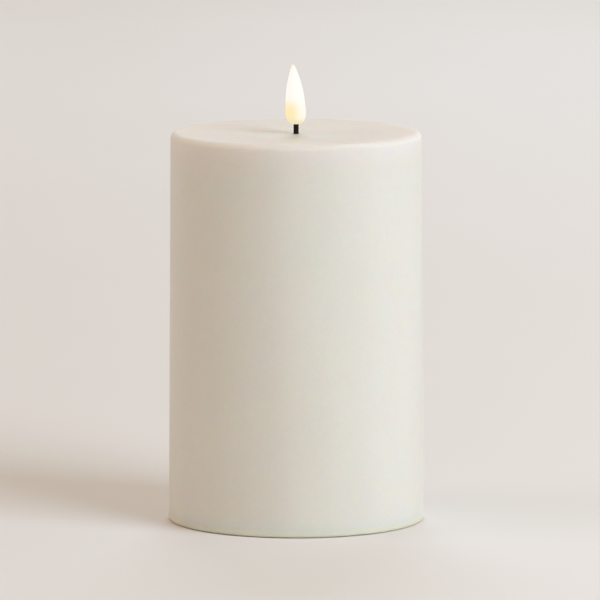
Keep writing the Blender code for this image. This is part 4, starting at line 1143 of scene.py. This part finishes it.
def make_capacitor():
    """The smoothing capacitor: a rolled can with a vent cross, on its moulded foot."""
    low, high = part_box("smoothing_capacitor")
    spot = (low + high) / 2
    radius, height = (high.x - low.x) / 2, high.z - low.z
    foot = 0.8 * MM
    wall = radius - 0.10 * MM
    outline = [(0.0, foot)] + arc((wall - 0.2 * MM, foot + 0.2 * MM), 0.2 * MM, -90.0, 0.0, 3)
    outline += arc((wall + 0.12 * MM, foot + 1.0 * MM), 0.30 * MM, 245.0, 115.0, 6)
    outline += [(wall, foot + 1.5 * MM)]
    outline += arc((wall - 0.45 * MM, height - 0.45 * MM), 0.45 * MM, 0.0, 90.0, 5) + [(0.0, height)]
    shape = bmesh.new()
    add_turned(shape, outline, 48, Matrix.Translation((spot.x, spot.y, low.z)))
    for degrees in (25.0, 115.0):
        cutter = bmesh.new()
        add_bar(cutter, (spot.x, spot.y), 1.7 * MM, 0.07 * MM, high.z - 0.07 * MM, high.z + 0.2 * MM, degrees)
        shape = carve(shape, cutter)
    finish_piece("capacitor_can", shape, CAN, "component_can", nodes=["smoothing_capacitor"], smooth=40.0)
    shape = bmesh.new()
    add_block(shape, (low.x, low.y, low.z), (high.x, high.y, low.z + foot), 0.22 * MM, 2)
    finish_piece("capacitor_foot", shape, BLACK_PLASTIC, "component_black")


def make_small_parts():
    """The crystal's drawn lid on its base, and the chip resistors with their tinned ends."""
    low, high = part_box("timing_crystal")
    shape = bmesh.new()
    add_block(shape, low, (high.x, high.y, low.z + 0.35 * MM), 0.08 * MM, 2)
    inset = Vector((0.25 * MM, 0.25 * MM, 0.0))
    add_block(shape, (low + inset) + Vector((0, 0, 0.30 * MM)), high - inset, 0.28 * MM, 4)
    finish_piece("crystal_lid", shape, CAN, "component_can", nodes=["timing_crystal"])
    for number in (1, 2, 3):
        low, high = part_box(f"resistor_{number}")
        shape = bmesh.new()
        inset = Vector((0.20 * MM, 0.03 * MM, 0.0))
        add_block(shape, low + inset, high - inset, 0.04 * MM, 2)
        nodes = [f"resistor_{number}"]
        finish_piece(f"resistor_body_{number}", shape, COMPONENT, "component_black", nodes=nodes)
        shape = bmesh.new()
        for near, far in ((low.x, low.x + 0.36 * MM), (high.x - 0.36 * MM, high.x)):
            add_block(shape, (near, low.y, low.z - 0.15 * MM), (far, high.y, high.z), 0.07 * MM, 2)
        finish_piece(f"resistor_ends_{number}", shape, SOLDER, "nickel")


def make_switch_fittings():
    """The frame's four tabs folded over its wafer, and the tinned pins with solder at each wire."""
    _, frame_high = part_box("switch_housing")
    wafer_low, wafer_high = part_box("switch_wafer")
    spot = (wafer_low + wafer_high) / 2
    sheet = wafer_low.z + 1.0 * MM
    shape = bmesh.new()
    for x in (-4.0 * MM, 4.0 * MM):
        for side in (-1, 1):
            wall = spot.y + side * 2.95 * MM
            inner = spot.y + side * 1.9 * MM
            near, far, crest = spot.x + x - 0.8 * MM, spot.x + x + 0.8 * MM, sheet + 0.45 * MM
            upright = (near, wall - 0.15 * MM, frame_high.z - 1.2 * MM)
            add_block(shape, upright, (far, wall + 0.15 * MM, crest), 0.08 * MM, 2)
            fold = (near, min(wall, inner), sheet + 0.15 * MM)
            add_block(shape, fold, (far, max(wall, inner), crest), 0.08 * MM, 2)
    finish_piece("switch_tabs", shape, ZINC, "zinc_steel")
    shape = bmesh.new()
    for x in (-3.0 * MM, 0.0, 3.0 * MM):
        low = (spot.x + x - 0.45 * MM, spot.y - 0.25 * MM, sheet)
        high = (spot.x + x + 0.45 * MM, spot.y + 0.25 * MM, wafer_high.z + 0.1 * MM)
        add_block(shape, low, high, 0.10 * MM, 2)
        blob = [(0.0, -1.1 * MM), (0.52 * MM, -0.8 * MM), (0.72 * MM, -0.2 * MM)]
        blob += [(0.55 * MM, 0.35 * MM), (0.0, 0.62 * MM)]
        add_turned(shape, blob, 20, Matrix.Translation((spot.x + x, spot.y, wafer_high.z)))
    finish_piece("switch_pins", shape, SOLDER, "nickel", smooth=50.0)


def insulated_wire(name, node, route, material, slot, radius=0.6, steps=10):
    """A wire whose insulation is stripped near both ends, with its tinned strands showing there."""
    line = smooth_line([Vector(p) for p in route], steps)
    shape = bmesh.new()
    add_tube(shape, line[3:-3], radius * MM, 14)
    finish_piece(name, shape, material, slot, nodes=[node], smooth=60.0)
    shape = bmesh.new()
    for stub in (line[:6], line[-6:]):
        add_tube(shape, stub, radius * 0.52 * MM, 10)
    finish_piece(f"{name}_strands", shape, SOLDER, "nickel", smooth=60.0)


def make_wires():
    """The wires from the contacts and the switch to the board, on the routes that the CAD tubes take."""
    pad = BOARD_FACE + 0.3 * MM
    poles = ((-1, "positive", RED_WIRE, "wire_red"), (1, "negative", BLACK_WIRE, "wire_black"))
    for sign, end, material, slot in poles:
        low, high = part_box(f"{end}_contact")
        start = Vector(((low.x + high.x) / 2, (low.y + high.y) / 2, high.z + 0.3 * MM))
        finish = Vector((-19.0 * MM, (2.0 + sign * 6.0) * MM, pad))
        route = [start, start + Vector((0.2 * MM, 0, 3.0 * MM))]
        route += [(-25.0 * MM, start.y - sign * 0.6 * MM, start.z + 5.2 * MM)]
        route += [finish + Vector((-2.0, sign * 0.4, 4.6)) * MM, finish + Vector((0, 0, 2.2)) * MM, finish]
        insulated_wire(f"{end}_lead_wire", f"battery_wire_{end}", route, material, slot)
    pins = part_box("switch_wafer")[1]
    row = middle_of("switch_wafer").y
    for number, sign in enumerate((-1, 0, 1), 1):
        start = Vector((sign * 3.0 * MM, row, pins.z + 0.3 * MM))
        finish = Vector(((sign * 4.0 - 0.5) * MM, -9.0 * MM, pad))
        route = [start, start + Vector((0, 0, 3.0 * MM)), (sign * 4.0 * MM, row + 1.0 * MM, pad - 1.0 * MM)]
        route += [(sign * 4.4 * MM, row + 6.0 * MM, pad + 5.0 * MM)]
        route += [finish + Vector((0, -1.5, 4.0)) * MM, finish]
        insulated_wire(f"control_wire_{number}", f"switch_wire_{number}", route, WHITE_WIRE, "wire_white")


make_screws()
make_feet()
make_base_mouldings()
make_door_mouldings()
make_knob()
make_cell(1, -1)
make_cell(2, 1)
make_contacts()
make_coil("negative_spring", "battery_cell_2", 1)
make_coil("bridge_spring", "battery_cell_1", -1)
make_tracks()
make_chip()
make_inductor()
make_capacitor()
make_small_parts()
make_switch_fittings()
make_wires()


# --- Finish of the CAD nodes that stay ---

NODE_MATERIALS = {
    WHITE_PLASTIC: ["inner_liner", "base_plate", "battery_box", "battery_door"],
    ZINC: ["switch_housing"],
    PHENOLIC: ["switch_wafer"],
    BOARD: ["circuit_board"],
    RED_WIRE: ["led_lead_positive"],
    BLACK_WIRE: ["led_lead_negative"],
    PHOSPHOR: ["led_filament"],
}
for finish, names in NODE_MATERIALS.items():
    for name in names:
        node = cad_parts[name]
        node.data.materials.clear()
        node.data.materials.append(finish)


# --- The stage and the lights ---


def make_stage():
    """A wide round sheet of pale paper, curved up at its rim so that no horizon shows in a low view."""
    shape = bmesh.new()
    rings = [[shape.verts.new((0.0, 0.0, 0.0))]]
    rings += [circle(shape, radius, height, PAPER_STEPS) for radius, height in PAPER_OUTLINE]
    for low, high in zip(rings, rings[1:]):
        for k in range(PAPER_STEPS):
            after = (k + 1) % PAPER_STEPS
            inner = [low[0]] if len(low) == 1 else [low[after], low[k]]
            shape.faces.new([high[k], high[after], *inner])
    mesh = bpy.data.meshes.new("paper_sheet")
    shape.to_mesh(mesh)
    shape.free()
    mesh.materials.append(floor_material())
    link(bpy.data.objects.new("paper_sheet", mesh))


def area_light(name, turn, elevation, distance, size, watts):
    data = bpy.data.lights.new(name, "AREA")
    data.shape = "DISK"
    data.size = size
    data.energy = max(watts)
    data.color = [w / max(watts) for w in watts]
    lamp = link(bpy.data.objects.new(name, data))
    turn, elevation = math.radians(turn), math.radians(elevation)
    level = math.cos(elevation)
    out = Vector((math.sin(turn) * level, -math.cos(turn) * level, math.sin(elevation)))
    lamp.location = AIM + out * distance
    lamp.rotation_euler = (-out).to_track_quat("-Z", "Y").to_euler()


def make_world():
    world = bpy.data.worlds.new("studio")
    bpy.context.scene.world = world
    world.use_nodes = True
    background = world.node_tree.nodes["Background"]
    background.inputs["Color"].default_value = (*WORLD_COLOUR, 1.0)
    background.inputs["Strength"].default_value = WORLD_STRENGTH


make_stage()
make_world()
for light in LIGHTS:
    area_light(*light)
bpy.context.scene.view_settings.view_transform = "Standard"
